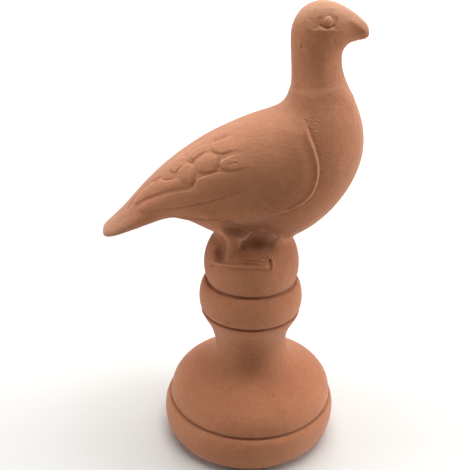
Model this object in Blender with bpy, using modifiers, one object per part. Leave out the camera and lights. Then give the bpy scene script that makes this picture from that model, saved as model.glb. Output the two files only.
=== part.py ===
"""Ridge finial: a pigeon standing on a turned stand, cast as one piece of terracotta.

Run with: blender --background --python part.py
Metres, +Z up. The origin is the centre of the underside and the bird faces +X.
"""

import math

import bmesh
import bpy
import numpy as np
from mathutils import Vector

# Turned stand: heights above the underside, and radii, in metres
BASE_RADIUS = 0.0758
BASE_FOOT_RADIUS = 0.0615
BASE_HEIGHT = 0.0370
DOME_RADIUS = 0.0715
DOME_HEIGHT = 0.0530
STEM_RADIUS = 0.0310
FLARE_HEIGHT = 0.0355
COLLAR_FOOT_RADIUS = 0.0426
COLLAR_HEIGHT = 0.0280
COLLAR_BULGE = 0.0034
CAP_RADIUS = 0.0388
CAP_HEIGHT = 0.0420
PERCH_RADIUS = 0.0285
GROOVE_DEPTH = 0.0018
FLARE_CURL = 0.0030
CAP_BELLY = 0.0040
CAP_SHOULDER = 0.0020
# The foot was pressed a little askew: its moulding stands back and the dome's shoulder forward
FOOT_SETBACK = 0.0005
SHOULDER_LEAD = 0.0024
# Height of the dome's shoulder as a share of the height of the stem's waist
SHOULDER_SHARE = 0.85
TURNING_STEPS = 36

# How far along each curve its end tangents reach, at its start and its end, and its steps
DOME_PULLS = (0.62, 0.54)
FLARE_PULLS = (0.50, 0.28)
CAP_PULLS = (0.20, 0.17)
DOME_STEPS = 9
FLARE_STEPS = 5
MOULDING_STEPS = 7
# How round the mouldings are: 1 is half an ellipse, and below 1 the side is straighter
BASE_ROUNDNESS = 0.80
COLLAR_ROUNDNESS = 1.0

# Bird: its length from tail to beak, which its pose, proportions and carving are shares of
BIRD_LENGTH = 0.2080
RING_POINTS = 16
BIRD_TRIANGLES = 5000
# How often the subdivision surface splits each cage's faces
BIRD_LEVELS = 4
UPRIGHT_LEVELS = 1

# The bird's rings from tail to beak, in hundredths of its length. The two points are the ring's
# top and bottom in the bird's mid plane, ahead of the stand's axis and above the perch, then comes
# half the ring's width, and last how much fuller than an oval its upper half is.
BIRD_RINGS = [
    ((-60.0, 1.6), (-59.4, -1.2), 4.4, -0.30),
    ((-57.2, 4.0), (-57.2, -1.9), 6.8, -0.45),
    ((-52.4, 8.8), (-51.6, 0.0), 8.2, -0.50),
    ((-47.3, 14.6), (-45.5, 2.4), 9.4, -0.45),
    ((-40.3, 22.7), (-38.6, 5.2), 11.4, -0.25),
    ((-32.3, 30.1), (-30.4, 8.2), 13.8, 0.0),
    ((-23.3, 36.7), (-22.0, 6.2), 16.4, 0.08),
    ((-13.8, 42.4), (-12.0, 0.0), 18.6, 0.12),
    ((-3.8, 47.2), (0.5, -2.6), 20.0, 0.13),
    ((3.5, 49.7), (12.0, -1.4), 20.4, 0.13),
    ((8.8, 51.6), (23.0, 4.6), 20.2, 0.10),
    ((11.6, 54.4), (32.0, 13.8), 19.4, 0.06),
    ((13.0, 58.0), (39.6, 25.4), 18.0, 0.0),
    ((13.2, 62.0), (42.0, 38.0), 15.4, 0.0),
    ((13.0, 66.6), (39.8, 49.5), 11.9, 0.0),
    ((12.6, 71.4), (34.9, 58.4), 9.9, 0.0),
    ((12.2, 76.2), (31.4, 65.6), 9.3, 0.0),
    ((12.2, 81.0), (30.8, 71.0), 8.9, 0.0),
    ((14.2, 86.3), (31.2, 73.4), 8.9, 0.0),
    ((18.8, 89.9), (32.4, 75.0), 8.3, 0.0),
    ((24.6, 90.8), (33.6, 76.0), 7.0, 0.0),
    ((30.4, 88.8), (35.4, 76.4), 4.8, 0.0),
    ((35.4, 85.8), (37.4, 76.8), 3.4, 0.0),
    ((38.3, 83.4), (39.4, 77.3), 2.6, 0.0),
    ((39.9, 81.6), (40.4, 78.4), 1.5, 0.0),
]
# How square the body's rings are above and below their middle; 2 is an oval
BODY_SQUARENESS = (2.15, 2.6)
OVAL = (2.0, 2.0)

# Points that a drawn line gets between two given ones
LINE_STEPS = 6

# Carving, seen from the side, in hundredths of the bird's length from the same point. The wing's
# edge runs from the shoulder down the front, back under the wing to its tip, and over the back.
WING_EDGE = [
    (16.4, 54.0),
    (17.4, 50.6),
    (18.2, 48.4),
    (19.0, 46.2),
    (20.2, 43.4),
    (21.5, 40.0),
    (22.4, 36.8),
    (22.8, 34.1),
    (22.7, 31.4),
    (22.0, 27.9),
    (20.3, 24.3),
    (17.1, 21.2),
    (11.7, 18.3),
    (6.5, 16.6),
    (2.1, 15.7),
    (-2.7, 14.7),
    (-7.6, 13.8),
    (-12.9, 12.9),
    (-17.9, 12.1),
    (-25.7, 11.4),
    (-38.0, 11.4),
    (-47.8, 12.2),
    (-52.0, 18.0),
    (-30.0, 42.0),
    (0.0, 58.0),
]
# The wing's step fades out between these heights at the shoulder, and these places at the tail
SHOULDER_FADE = (46.0, 53.0)
TAIL_FADE = (-38.0, -24.0)
# How far off the mid plane the carving starts, on the right side and on the plainer left side
CREST_FADE = ((0.0030, 0.0100), (0.0220, 0.0320))
WING_LIFT = 0.0012
WING_RIM = 0.0014
WING_RIM_WIDTH = 0.0020

# Feathers: each one's edge from its root round its tip and back, and how long its root is
FEATHERS = [
    (
        [
            (-6.5, 43.2), (-9.0, 42.5), (-10.9, 41.7), (-12.2, 41.1), (-13.8, 40.3), (-15.1, 39.5),
            (-15.6, 38.6), (-15.1, 37.8), (-13.8, 37.4), (-11.9, 37.4), (-10.1, 37.8), (-8.3, 38.5),
            (-6.5, 39.1), (-3.5, 40.3),
        ],
        6.0,
    ),
    (
        [
            (-11.6, 36.0), (-12.7, 36.7), (-13.8, 37.0), (-15.4, 37.1), (-17.3, 36.5), (-18.9, 35.4),
            (-20.2, 34.2), (-20.8, 32.8), (-20.4, 31.6), (-19.5, 30.9), (-18.1, 30.8), (-16.0, 31.2),
            (-13.9, 31.9), (-12.3, 32.6),
        ],
        2.0,
    ),
    (
        [
            (-20.6, 31.8), (-21.2, 32.3), (-22.6, 32.6), (-24.0, 32.5), (-25.6, 31.5), (-27.0, 30.1),
            (-27.6, 28.9), (-27.3, 27.7), (-26.2, 26.8), (-24.5, 26.4), (-22.4, 26.5), (-20.9, 27.6),
        ],
        1.5,
    ),
    (
        [
            (-24.2, 34.0), (-25.7, 33.7), (-27.4, 32.9), (-29.4, 31.5), (-30.7, 30.2), (-31.3, 29.0),
            (-30.7, 28.4), (-29.2, 28.4), (-28.0, 28.9), (-26.8, 30.4), (-25.2, 32.0),
        ],
        2.0,
    ),
    (
        [
            (-14.8, 40.2), (-16.5, 39.4), (-18.1, 38.6), (-20.0, 37.5), (-21.9, 36.3), (-23.2, 35.2),
            (-23.7, 34.2), (-22.7, 33.6), (-21.5, 33.9), (-19.6, 35.4), (-17.6, 36.8), (-15.4, 37.5),
        ],
        4.0,
    ),
    (
        [
            (-3.0, 39.4), (-6.5, 38.3), (-8.8, 37.2), (-10.8, 36.2), (-12.0, 35.3), (-12.3, 34.4),
            (-11.6, 33.6), (-10.5, 33.1), (-8.7, 32.9), (-6.3, 33.2), (-4.3, 33.8), (-1.5, 34.6),
            (2.1, 35.4),
        ],
        8.0,
    ),
    (
        [
            (0.0, 34.2), (-4.0, 32.7), (-8.0, 32.2), (-12.3, 32.0), (-14.4, 31.3), (-16.5, 30.4),
            (-18.6, 29.6), (-20.2, 28.4), (-21.0, 26.8), (-21.6, 25.6), (-24.0, 24.2), (-27.6, 23.2),
            (-31.0, 21.8), (-35.6, 19.4), (-39.6, 17.0), (-42.8, 14.4), (-43.6, 13.0), (-42.2, 12.5),
            (-38.5, 13.6), (-34.0, 15.2), (-29.9, 16.6), (-26.9, 17.4), (-24.1, 18.3), (-21.4, 19.4),
            (-18.1, 20.6), (-14.4, 22.0), (-10.7, 23.8), (-7.0, 25.3), (-3.6, 26.7),
        ],
        14.0,
    ),
    (
        [
            (-25.0, 28.4), (-27.4, 27.5), (-29.6, 26.6), (-31.9, 25.6), (-33.7, 25.2), (-35.6, 24.9),
            (-36.8, 24.0), (-38.5, 22.5), (-40.6, 20.6), (-42.7, 18.6), (-44.5, 16.4), (-45.6, 14.6),
            (-45.2, 13.9), (-44.1, 14.1), (-42.3, 15.7), (-39.3, 17.9), (-35.2, 20.3), (-30.6, 22.7),
            (-27.3, 24.1), (-24.5, 24.9), (-21.8, 26.2),
        ],
        5.0,
    ),
]
FEATHER_LIFT = 0.0015
FEATHER_EDGE = 0.0012
FEATHER_DOME = 0.0045
# How much of a feather's lift its edge gives; the rest swells towards its middle
EDGE_SHARE = 0.72

# Grooves between the long feathers, and the ridge along the tail's side
PINION_GROOVES = [
    [(-48.4, 11.0), (-47.4, 12.6), (-46.6, 14.0), (-46.1, 15.4)],
    [(-21.6, 33.4), (-22.4, 32.9), (-24.3, 33.0)],
]
GROOVE_WIDTH = 0.0013
PINION_DEPTH = 0.0009
TAIL_RIDGE = [(-48.2, 11.3), (-51.7, 8.5), (-55.3, 5.1), (-57.6, 2.4)]
TAIL_RIDGE_LIFT = 0.0006
TAIL_RIDGE_WIDTH = 0.0040

# The flank pressed in below the wing: its crisp border, then the rest of its outline, and the
# heights and places between which it fades out towards the belly
FLANK_BORDER = [
    (15.5, 20.4), (11.7, 18.3), (6.5, 16.6), (2.1, 15.6), (-2.7, 14.6), (-7.6, 13.7), (-11.4, 13.1),
    (-11.9, 11.0), (-11.7, 8.4), (-10.8, 5.6), (-9.8, 3.4),
]
FLANK_REST = [(-6.0, 1.5), (0.0, 1.5), (14.0, 0.0), (22.0, 10.0)]
FLANK_FADE = ((4.0, 9.0), (16.0, 2.0))
FLANK_DEPTH = 0.0030
FLANK_STEP = 0.0030

EYE = (24.7, 84.4)
EYE_RADIUS = 0.0034
EYE_LIFT = 0.0020
SOCKET_REACH = (0.0100, 0.0058)
SOCKET_DEPTH = 0.0009
EYELID = [(20.6, 81.7), (22.4, 81.5), (24.1, 81.3), (25.8, 81.4), (27.4, 81.8)]
EYELID_LIFT = 0.0008
EYELID_WIDTH = 0.0016
MOUTH = [(29.5, 79.8), (31.4, 79.6), (33.6, 79.2), (36.5, 79.0)]
MOUTH_DEPTH = 0.0003
MOUTH_WIDTH = 0.0014

# Hollows beside the web between belly and cap on each side, two ahead of the leg and one behind
# it: centre and reach in hundredths of the bird's length
HOLLOWS = [
    ((2.6, -15.2, 2.3), (8.0, 6.4, 4.3)),
    ((8.6, -16.2, 1.4), (6.4, 4.6, 3.0)),
    ((-13.6, -14.6, -1.6), (4.6, 6.0, 4.8)),
]

# The web between belly and cap: its rings' middles and half widths
WEB_RINGS = [
    ((0.0, 0.0, 9.0), 14.0, 11.5),
    ((0.2, 0.0, 5.0), 15.2, 12.6),
    ((0.7, 0.0, 2.0), 15.8, 12.8),
    ((0.6, 0.0, -1.0), 15.7, 13.0),
    ((0.3, 0.0, -5.0), 15.8, 13.4),
]
WEB_POINTS = 16

# Legs and toes in relief on the cap: where the leg's middle line runs, and its half widths
LEG_RINGS = [
    ((-1.4, -12.4, 15.0), 10.6, 3.6),
    ((-1.8, -12.4, 11.5), 10.2, 3.6),
    ((-3.4, -12.4, 8.5), 8.6, 3.6),
    ((-6.0, -12.2, 5.4), 6.0, 3.3),
    ((-7.1, -11.7, 3.0), 3.8, 3.0),
    ((-6.8, -11.6, 1.5), 2.8, 2.8),
    ((-6.7, -11.8, 0.0), 2.45, 2.8),
    ((-6.65, -12.3, -2.0), 2.5, 2.8),
    ((-6.9, -13.0, -4.5), 3.3, 2.8),
    ((-7.0, -13.6, -7.0), 4.0, 2.8),
]
LEG_POINTS = 12
LEG_SQUARENESS = (2.8, 2.8)
TOE_THICKNESS = 0.0036
TOE_SINK = 0.0006
TOE_TAPER = 0.6
TOE_STEPS = 4
TOE_LINES = [
    ((-3.4, -3.4), (4.2, -4.1)),
    ((-4.4, -4.8), (5.6, -5.6)),
    ((-5.0, -6.3), (6.2, -6.9)),
    ((-5.0, -6.4), (-13.6, -7.6)),
]

TERRACOTTA = (0.42, 0.165, 0.080, 1.0)


def clear_scene():
    for obj in list(bpy.data.objects):
        bpy.data.objects.remove(obj, do_unlink=True)


def new_collection(name):
    collection = bpy.data.collections.new(name)
    bpy.context.scene.collection.children.link(collection)
    return collection


def terracotta():
    """Fired red clay: matt, with no glaze."""
    material = bpy.data.materials.new("terracotta")
    material.use_nodes = True
    shader = material.node_tree.nodes["Principled BSDF"]
    shader.inputs["Base Color"].default_value = TERRACOTTA
    shader.inputs["Roughness"].default_value = 0.85
    shader.inputs["Metallic"].default_value = 0.0
    material.diffuse_color = TERRACOTTA
    return material


def mesh_object(name, bm, collection):
    mesh = bpy.data.meshes.new(name)
    bm.to_mesh(mesh)
    bm.free()
    obj = bpy.data.objects.new(name, mesh)
    collection.objects.link(obj)
    return obj


def apply_modifiers(obj):
    """Replaces the object's mesh by the one its modifiers give."""
    graph = bpy.context.evaluated_depsgraph_get()
    mesh = bpy.data.meshes.new_from_object(obj.evaluated_get(graph))
    obj.modifiers.clear()
    obj.data = mesh


def smoothed(obj, levels):
    """Rounds a coarse cage with a subdivision surface."""
    smoothing = obj.modifiers.new("smoothing", "SUBSURF")
    smoothing.levels = levels
    smoothing.render_levels = levels
    apply_modifiers(obj)


def combine(target, tool, operation):
    """Fuses another closed shape into the target, or cuts it away."""
    boolean = target.modifiers.new("boolean", "BOOLEAN")
    boolean.operation = operation
    boolean.object = tool
    apply_modifiers(target)
    bpy.data.objects.remove(tool, do_unlink=True)


def cubic(start, start_pull, end_pull, end, steps):
    """Points of a cubic curve in the profile plane, without its first point."""
    points = []
    for i in range(1, steps + 1):
        t = i / steps
        weights = ((1 - t) ** 3, 3 * t * (1 - t) ** 2, 3 * t * t * (1 - t), t**3)
        corners = (start, start_pull, end_pull, end)
        points.append(tuple(sum(w * c[k] for w, c in zip(weights, corners)) for k in (0, 1)))
    return points


def bead(start, end, bulge, roundness, steps):
    """Points of a rounded moulding that swells by bulge between two heights."""
    points = []
    for i in range(1, steps + 1):
        t = i / steps
        radius = start[0] + (end[0] - start[0]) * t + bulge * math.sin(math.pi * t) ** roundness
        points.append((radius, start[1] + (end[1] - start[1]) * (1 - math.cos(math.pi * t)) / 2))
    return points


def stem_height():
    return BASE_HEIGHT + DOME_HEIGHT


def collar_foot_height():
    return stem_height() + FLARE_HEIGHT


def cap_foot_height():
    return collar_foot_height() + COLLAR_HEIGHT


def perch_height():
    return cap_foot_height() + CAP_HEIGHT


def cap_outline(steps):
    """The cap's side, from the groove at its foot up and in to the perch."""
    foot = (CAP_RADIUS - GROOVE_DEPTH, cap_foot_height())
    top = (PERCH_RADIUS, perch_height())
    low_pull = (CAP_RADIUS + CAP_BELLY, foot[1] + CAP_PULLS[0] * CAP_HEIGHT)
    high_pull = (CAP_RADIUS + CAP_SHOULDER, top[1] - CAP_PULLS[1] * CAP_HEIGHT)
    return [foot] + cubic(foot, low_pull, high_pull, top, steps)


def stand_profile():
    """The turned outline as (radius, height), from the underside's centre up to the perch."""
    base_top = (DOME_RADIUS - GROOVE_DEPTH, BASE_HEIGHT)
    dome_foot = (DOME_RADIUS, BASE_HEIGHT + GROOVE_DEPTH)
    dome_top = (STEM_RADIUS, stem_height())
    flare_top = (COLLAR_FOOT_RADIUS, collar_foot_height() - GROOVE_DEPTH)
    collar_foot = (COLLAR_FOOT_RADIUS - GROOVE_DEPTH, collar_foot_height())
    collar_top = (CAP_RADIUS - GROOVE_DEPTH, cap_foot_height())
    points = [(0.0, 0.0), (BASE_FOOT_RADIUS, 0.0)]
    base_bulge = BASE_RADIUS - (BASE_FOOT_RADIUS + base_top[0]) / 2
    points += bead(points[-1], base_top, base_bulge, BASE_ROUNDNESS, MOULDING_STEPS)
    points.append(dome_foot)
    low_pull = (DOME_RADIUS, BASE_HEIGHT + DOME_PULLS[0] * DOME_HEIGHT)
    high_pull = (STEM_RADIUS, dome_top[1] - DOME_PULLS[1] * DOME_HEIGHT)
    points += cubic(dome_foot, low_pull, high_pull, dome_top, DOME_STEPS)
    low_pull = (STEM_RADIUS, dome_top[1] + FLARE_PULLS[0] * FLARE_HEIGHT)
    high_pull = (COLLAR_FOOT_RADIUS - FLARE_CURL, collar_foot[1] - FLARE_PULLS[1] * FLARE_HEIGHT)
    points += cubic(dome_top, low_pull, high_pull, flare_top, FLARE_STEPS)
    points.append(collar_foot)
    collar_bulge = COLLAR_BULGE + GROOVE_DEPTH
    points += bead(collar_foot, collar_top, collar_bulge, COLLAR_ROUNDNESS, MOULDING_STEPS)
    points += cap_outline(MOULDING_STEPS)[1:]
    points.append((0.0, perch_height()))
    return points


def lean(height):
    """How far the foot stands ahead of the turning axis at a height: back at its moulding, ahead
    at the dome's shoulder, and nothing at the underside and from the stem's waist up."""
    shoulder_height = SHOULDER_SHARE * stem_height()
    if height <= 0:
        return 0.0
    if height < shoulder_height:
        share = (1 - math.cos(math.pi * height / shoulder_height)) / 2
        return (FOOT_SETBACK + SHOULDER_LEAD) * share - FOOT_SETBACK
    fade = min((height - shoulder_height) / (stem_height() - shoulder_height) / 2, 1.0)
    return SHOULDER_LEAD * (1 + math.cos(math.pi * fade)) / 2


def turned_stand(collection):
    """The stand is one profile turned round the vertical axis, with its foot a little askew."""
    bm = bmesh.new()
    outline = [bm.verts.new((radius, 0.0, height)) for radius, height in reversed(stand_profile())]
    for lower, upper in zip(outline, outline[1:]):
        bm.edges.new((lower, upper))
    stand = mesh_object("stand", bm, collection)
    turning = stand.modifiers.new("turning", "SCREW")
    turning.axis = "Z"
    turning.steps = TURNING_STEPS
    turning.render_steps = TURNING_STEPS
    turning.use_merge_vertices = True
    turning.merge_threshold = 0.00002
    apply_modifiers(stand)
    for vert in stand.data.vertices:
        vert.co.x += lean(vert.co.z)
    return stand


def bird_point(share):
    """A point given in hundredths of the bird's length from the middle of the perch."""
    return Vector((0.0, 0.0, perch_height())) + Vector(share) * BIRD_LENGTH / 100


def cage(name, rings, levels, collection):
    """A closed form through rings of equal count, each a list of points, smoothed."""
    bm = bmesh.new()
    loops = [[bm.verts.new(point) for point in ring] for ring in rings]
    count = len(loops[0])
    for near, far in zip(loops, loops[1:]):
        for i in range(count):
            j = (i + 1) % count
            bm.faces.new((near[i], near[j], far[j], far[i]))
    bm.faces.new(reversed(loops[0]))
    bm.faces.new(loops[-1])
    bmesh.ops.recalc_face_normals(bm, faces=bm.faces)
    form = mesh_object(name, bm, collection)
    smoothed(form, levels)
    return form


def oval(middle, reach, side, count, square=OVAL, full=0.0):
    """Points of an oval, set out so that a subdivision surface comes back to its size; its two
    halves can be squarer, and the upper one fuller than the lower one."""
    swell = 3 / (2 + math.cos(2 * math.pi / count))
    points = []
    for i in range(count):
        turn = 2 * math.pi * i / count
        rise = math.cos(turn)
        power = square[0] if rise > 0 else square[1]
        width = max(1 - abs(rise) ** power, 0.0) ** (1 / power) * (1 + full * rise)
        points.append(middle + (reach * rise + side * math.copysign(width, math.sin(turn))) * swell)
    return points


def bird_body(collection):
    """The bird from tail to beak, smooth and uncarved."""
    rings = []
    for top, bottom, half_width, full in BIRD_RINGS:
        high = bird_point((top[0], 0.0, top[1]))
        low = bird_point((bottom[0], 0.0, bottom[1]))
        side = Vector((0.0, half_width * BIRD_LENGTH / 100, 0.0))
        square = BODY_SQUARENESS if full > 0 else OVAL
        rings.append(oval((high + low) / 2, (high - low) / 2, side, RING_POINTS, square, full))
    return cage("bird", rings, BIRD_LEVELS, collection)


def smooth_step(low, high, value):
    t = np.clip((value - low) / (high - low), 0.0, 1.0)
    return t * t * (3 - 2 * t)


def side_points(shares):
    """Side view points as metres ahead of the axis and above the underside."""
    return [(bird_point((u, 0.0, v)).x, bird_point((u, 0.0, v)).z) for u, v in shares]


def rounded_line(points, closed=False):
    """Points of a smooth line through the given ones."""
    last = len(points) - 1
    pieces = range(len(points) if closed else last)
    line = []
    for i in pieces:
        places = range(i - 1, i + 3)
        if closed:
            near = [points[k % len(points)] for k in places]
        else:
            near = [points[min(max(k, 0), last)] for k in places]
        for j in range(LINE_STEPS):
            t = j / LINE_STEPS
            a = -0.5 * t + t * t - 0.5 * t**3
            b = 1 - 2.5 * t * t + 1.5 * t**3
            c = 0.5 * t + 2 * t * t - 1.5 * t**3
            d = -0.5 * t * t + 0.5 * t**3
            line.append(tuple(a * p + b * q + c * r + d * s for p, q, r, s in zip(*near)))
    return line if closed else line + [points[-1]]


def line_distance(x, z, line, closed=False):
    """Distance of each side view point from a line."""
    ends = line[1:] + line[:1] if closed else line[1:]
    nearest = np.full(x.shape, np.inf)
    for (x0, z0), (x1, z1) in zip(line, ends):
        dx, dz = x1 - x0, z1 - z0
        along = np.clip(((x - x0) * dx + (z - z0) * dz) / max(dx * dx + dz * dz, 1e-12), 0.0, 1.0)
        nearest = np.minimum(nearest, np.hypot(x - x0 - along * dx, z - z0 - along * dz))
    return nearest


def inside_line(x, z, line):
    """Whether each side view point lies inside a closed line."""
    inside = np.zeros(x.shape, bool)
    for (x0, z0), (x1, z1) in zip(line, line[1:] + line[:1]):
        if z0 != z1:
            crosses = (z0 > z) != (z1 > z)
            inside ^= crosses & (x < (x1 - x0) * (z - z0) / (z1 - z0) + x0)
    return inside


def bump(distance, width):
    """A rounded ridge's height, 1 on its line and nothing past its width."""
    return 1 - smooth_step(0.0, width, distance)


def lay_feather(x, z, feather, lifts):
    """Lays one feather over the others: domed, crisp at its drawn edge and sunk at its root."""
    outline, root = feather
    drawn = rounded_line(side_points(outline))
    inside = inside_line(x, z, drawn)
    to_edge = line_distance(x[inside], z[inside], drawn)
    to_root = line_distance(x[inside], z[inside], [drawn[-1], drawn[0]])
    dome = EDGE_SHARE * smooth_step(0.0, FEATHER_EDGE, to_edge)
    dome += (1 - EDGE_SHARE) * smooth_step(0.0, FEATHER_DOME, to_edge)
    height = FEATHER_LIFT * dome * smooth_step(0.0, root * BIRD_LENGTH / 100, to_root)
    lifts[inside] = np.maximum(lifts[inside], height)


def flank_depth(x, z):
    """How far the flank is pressed in below the wing."""
    border = rounded_line(side_points(FLANK_BORDER))
    depth = FLANK_DEPTH * smooth_step(0.0, FLANK_STEP, line_distance(x, z, border))
    depth *= smooth_step(*[bird_point((0.0, 0.0, v)).z for v in FLANK_FADE[0]], z)
    behind, ahead = sorted(bird_point((u, 0.0, 0.0)).x for u in FLANK_FADE[1])
    depth *= 1 - smooth_step(behind, ahead, x)
    return np.where(inside_line(x, z, border + side_points(FLANK_REST)), depth, 0.0)


def carve_bird(bird):
    """Raises the wings, feathers and eyes on the smooth bird and presses in its grooves."""
    mesh = bird.data
    count = len(mesh.vertices)
    co = np.empty(count * 3, np.float32)
    mesh.vertices.foreach_get("co", co)
    co = co.reshape(count, 3).astype(float)
    normals = np.empty(count * 3, np.float32)
    mesh.vertex_normals.foreach_get("vector", normals)
    normals = normals.reshape(count, 3).astype(float)
    near = co.copy()
    near[:, 1] = -np.abs(co[:, 1])
    x, z = near[:, 0], near[:, 2]
    right, left = (smooth_step(*fade, -near[:, 1]) for fade in CREST_FADE)
    off_crest = np.where(co[:, 1] < 0, right, left)

    edge = rounded_line(side_points(WING_EDGE), closed=True)
    edge_distance = line_distance(x, z, edge, closed=True)
    inward = np.where(inside_line(x, z, edge), edge_distance, -edge_distance)
    height = WING_LIFT * smooth_step(-WING_RIM_WIDTH, 0.0, inward)
    height += WING_RIM * bump(edge_distance, WING_RIM_WIDTH)
    height *= 1 - smooth_step(*[bird_point((0.0, 0.0, v)).z for v in SHOULDER_FADE], z)
    height *= smooth_step(*[bird_point((u, 0.0, 0.0)).x for u in TAIL_FADE], x)
    lifts = np.zeros(count)
    for feather in FEATHERS:
        lay_feather(x, z, feather, lifts)
    height += lifts
    for groove in PINION_GROOVES:
        line = rounded_line(side_points(groove))
        height -= PINION_DEPTH * bump(line_distance(x, z, line), GROOVE_WIDTH)
    ridge = rounded_line(side_points(TAIL_RIDGE))
    height += TAIL_RIDGE_LIFT * bump(line_distance(x, z, ridge), TAIL_RIDGE_WIDTH)
    height *= off_crest
    height -= flank_depth(x, z)

    eye = side_points([EYE])[0]
    socket = np.hypot((x - eye[0]) / SOCKET_REACH[0], (z - eye[1]) / SOCKET_REACH[1])
    height -= SOCKET_DEPTH * bump(socket, 1.0)
    pupil = np.clip(np.hypot(x - eye[0], z - eye[1]) / EYE_RADIUS, 0.0, 1.0)
    height += EYE_LIFT * np.sqrt(1 - pupil**2)
    lid = rounded_line(side_points(EYELID))
    height += EYELID_LIFT * bump(line_distance(x, z, lid), EYELID_WIDTH)
    mouth = rounded_line(side_points(MOUTH))
    height -= MOUTH_DEPTH * bump(line_distance(x, z, mouth), MOUTH_WIDTH)

    co += normals * height[:, None]
    mesh.vertices.foreach_set("co", co.astype(np.float32).ravel())
    mesh.update()
    thinning = bird.modifiers.new("thinning", "DECIMATE")
    thinning.ratio = BIRD_TRIANGLES / sum(len(face.vertices) - 2 for face in mesh.polygons)
    apply_modifiers(bird)


def hollow(share_centre, share_reach, side, collection):
    """An egg-shaped cutter beside the web that joins belly and cap."""
    bm = bmesh.new()
    bmesh.ops.create_uvsphere(bm, u_segments=16, v_segments=10, radius=1.0)
    centre = bird_point(share_centre)
    for vert in bm.verts:
        for k in range(3):
            vert.co[k] = centre[k] + vert.co[k] * share_reach[k] * BIRD_LENGTH / 100
        vert.co.y *= side
    if side < 0:
        bmesh.ops.reverse_faces(bm, faces=bm.faces)
    return mesh_object("hollow", bm, collection)


def upright(name, shares, side, points, square, collection):
    """A leg or the web from level rings; side is 1 for the bird's right and -1 for its left."""
    rings = []
    for share, long_half, deep_half in shares:
        middle = bird_point(share)
        middle.y *= side
        ahead = Vector((long_half * BIRD_LENGTH / 100, 0.0, 0.0))
        out = Vector((0.0, deep_half * BIRD_LENGTH / 100, 0.0))
        rings.append(oval(middle, ahead, out, points, square))
    return cage(name, rings, UPRIGHT_LEVELS, collection)


def cap_radius_at(height):
    """The cap's radius at a height, read off its outline."""
    outline = cap_outline(24)
    for (r0, z0), (r1, z1) in zip(outline, outline[1:]):
        if z0 <= height <= z1:
            return r0 + (r1 - r0) * (height - z0) / (z1 - z0)
    return outline[-1][0]


def toe(start, end, side, collection):
    """One toe, a round bar lying along the cap's side and thinner at its ends."""
    bar = bpy.data.curves.new("toe", "CURVE")
    bar.dimensions = "3D"
    bar.bevel_depth = TOE_THICKNESS / 2
    bar.bevel_resolution = 1
    bar.use_fill_caps = True
    spline = bar.splines.new("POLY")
    spline.points.add(TOE_STEPS)
    for i, point in enumerate(spline.points):
        t = i / TOE_STEPS
        ahead, above = (first + (last - first) * t for first, last in zip(start, end))
        place = bird_point((ahead, 0.0, above))
        place.y = -side * math.sqrt((cap_radius_at(place.z) - TOE_SINK) ** 2 - place.x**2)
        point.co = (*place, 1.0)
        point.radius = TOE_TAPER if i in (0, TOE_STEPS) else 1.0
    drawn = bpy.data.objects.new("toe", bar)
    collection.objects.link(drawn)
    graph = bpy.context.evaluated_depsgraph_get()
    mesh = bpy.data.meshes.new_from_object(drawn.evaluated_get(graph))
    bpy.data.objects.remove(drawn, do_unlink=True)
    bm = bmesh.new()
    bm.from_mesh(mesh)
    bmesh.ops.remove_doubles(bm, verts=bm.verts, dist=0.00001)
    bmesh.ops.recalc_face_normals(bm, faces=bm.faces)
    return mesh_object("toe", bm, collection)


def main():
    clear_scene()
    finial_parts = new_collection("ridge finial")
    finial = turned_stand(finial_parts)
    finial.name = "pigeon_finial"
    bird = bird_body(finial_parts)
    carve_bird(bird)
    combine(finial, bird, "UNION")
    combine(finial, upright("web", WEB_RINGS, 1, WEB_POINTS, OVAL, finial_parts), "UNION")
    for side in (1, -1):
        for centre, reach in HOLLOWS:
            combine(finial, hollow(centre, reach, side, finial_parts), "DIFFERENCE")
    for side in (1, -1):
        leg = upright("leg", LEG_RINGS, side, LEG_POINTS, LEG_SQUARENESS, finial_parts)
        combine(finial, leg, "UNION")
        for start, end in TOE_LINES:
            combine(finial, toe(start, end, side, finial_parts), "UNION")
    finial.data.name = "pigeon_finial"
    finial.data.materials.clear()
    finial.data.materials.append(terracotta())
    finial.data.shade_smooth()
    finial.data.set_sharp_from_angle(angle=math.radians(40))


main()
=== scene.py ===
"""Ridge finial: a pigeon standing on a turned stand, cast in red clay as one piece.

The casting is modelled from a turned profile and from oval rings, fused, and then carved. It
replaces the plain solid of the frame. A pale floor, soft lights and a camera show it.
"""

import math

import bmesh
import bpy
import numpy as np
from mathutils import Matrix, Vector


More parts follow.
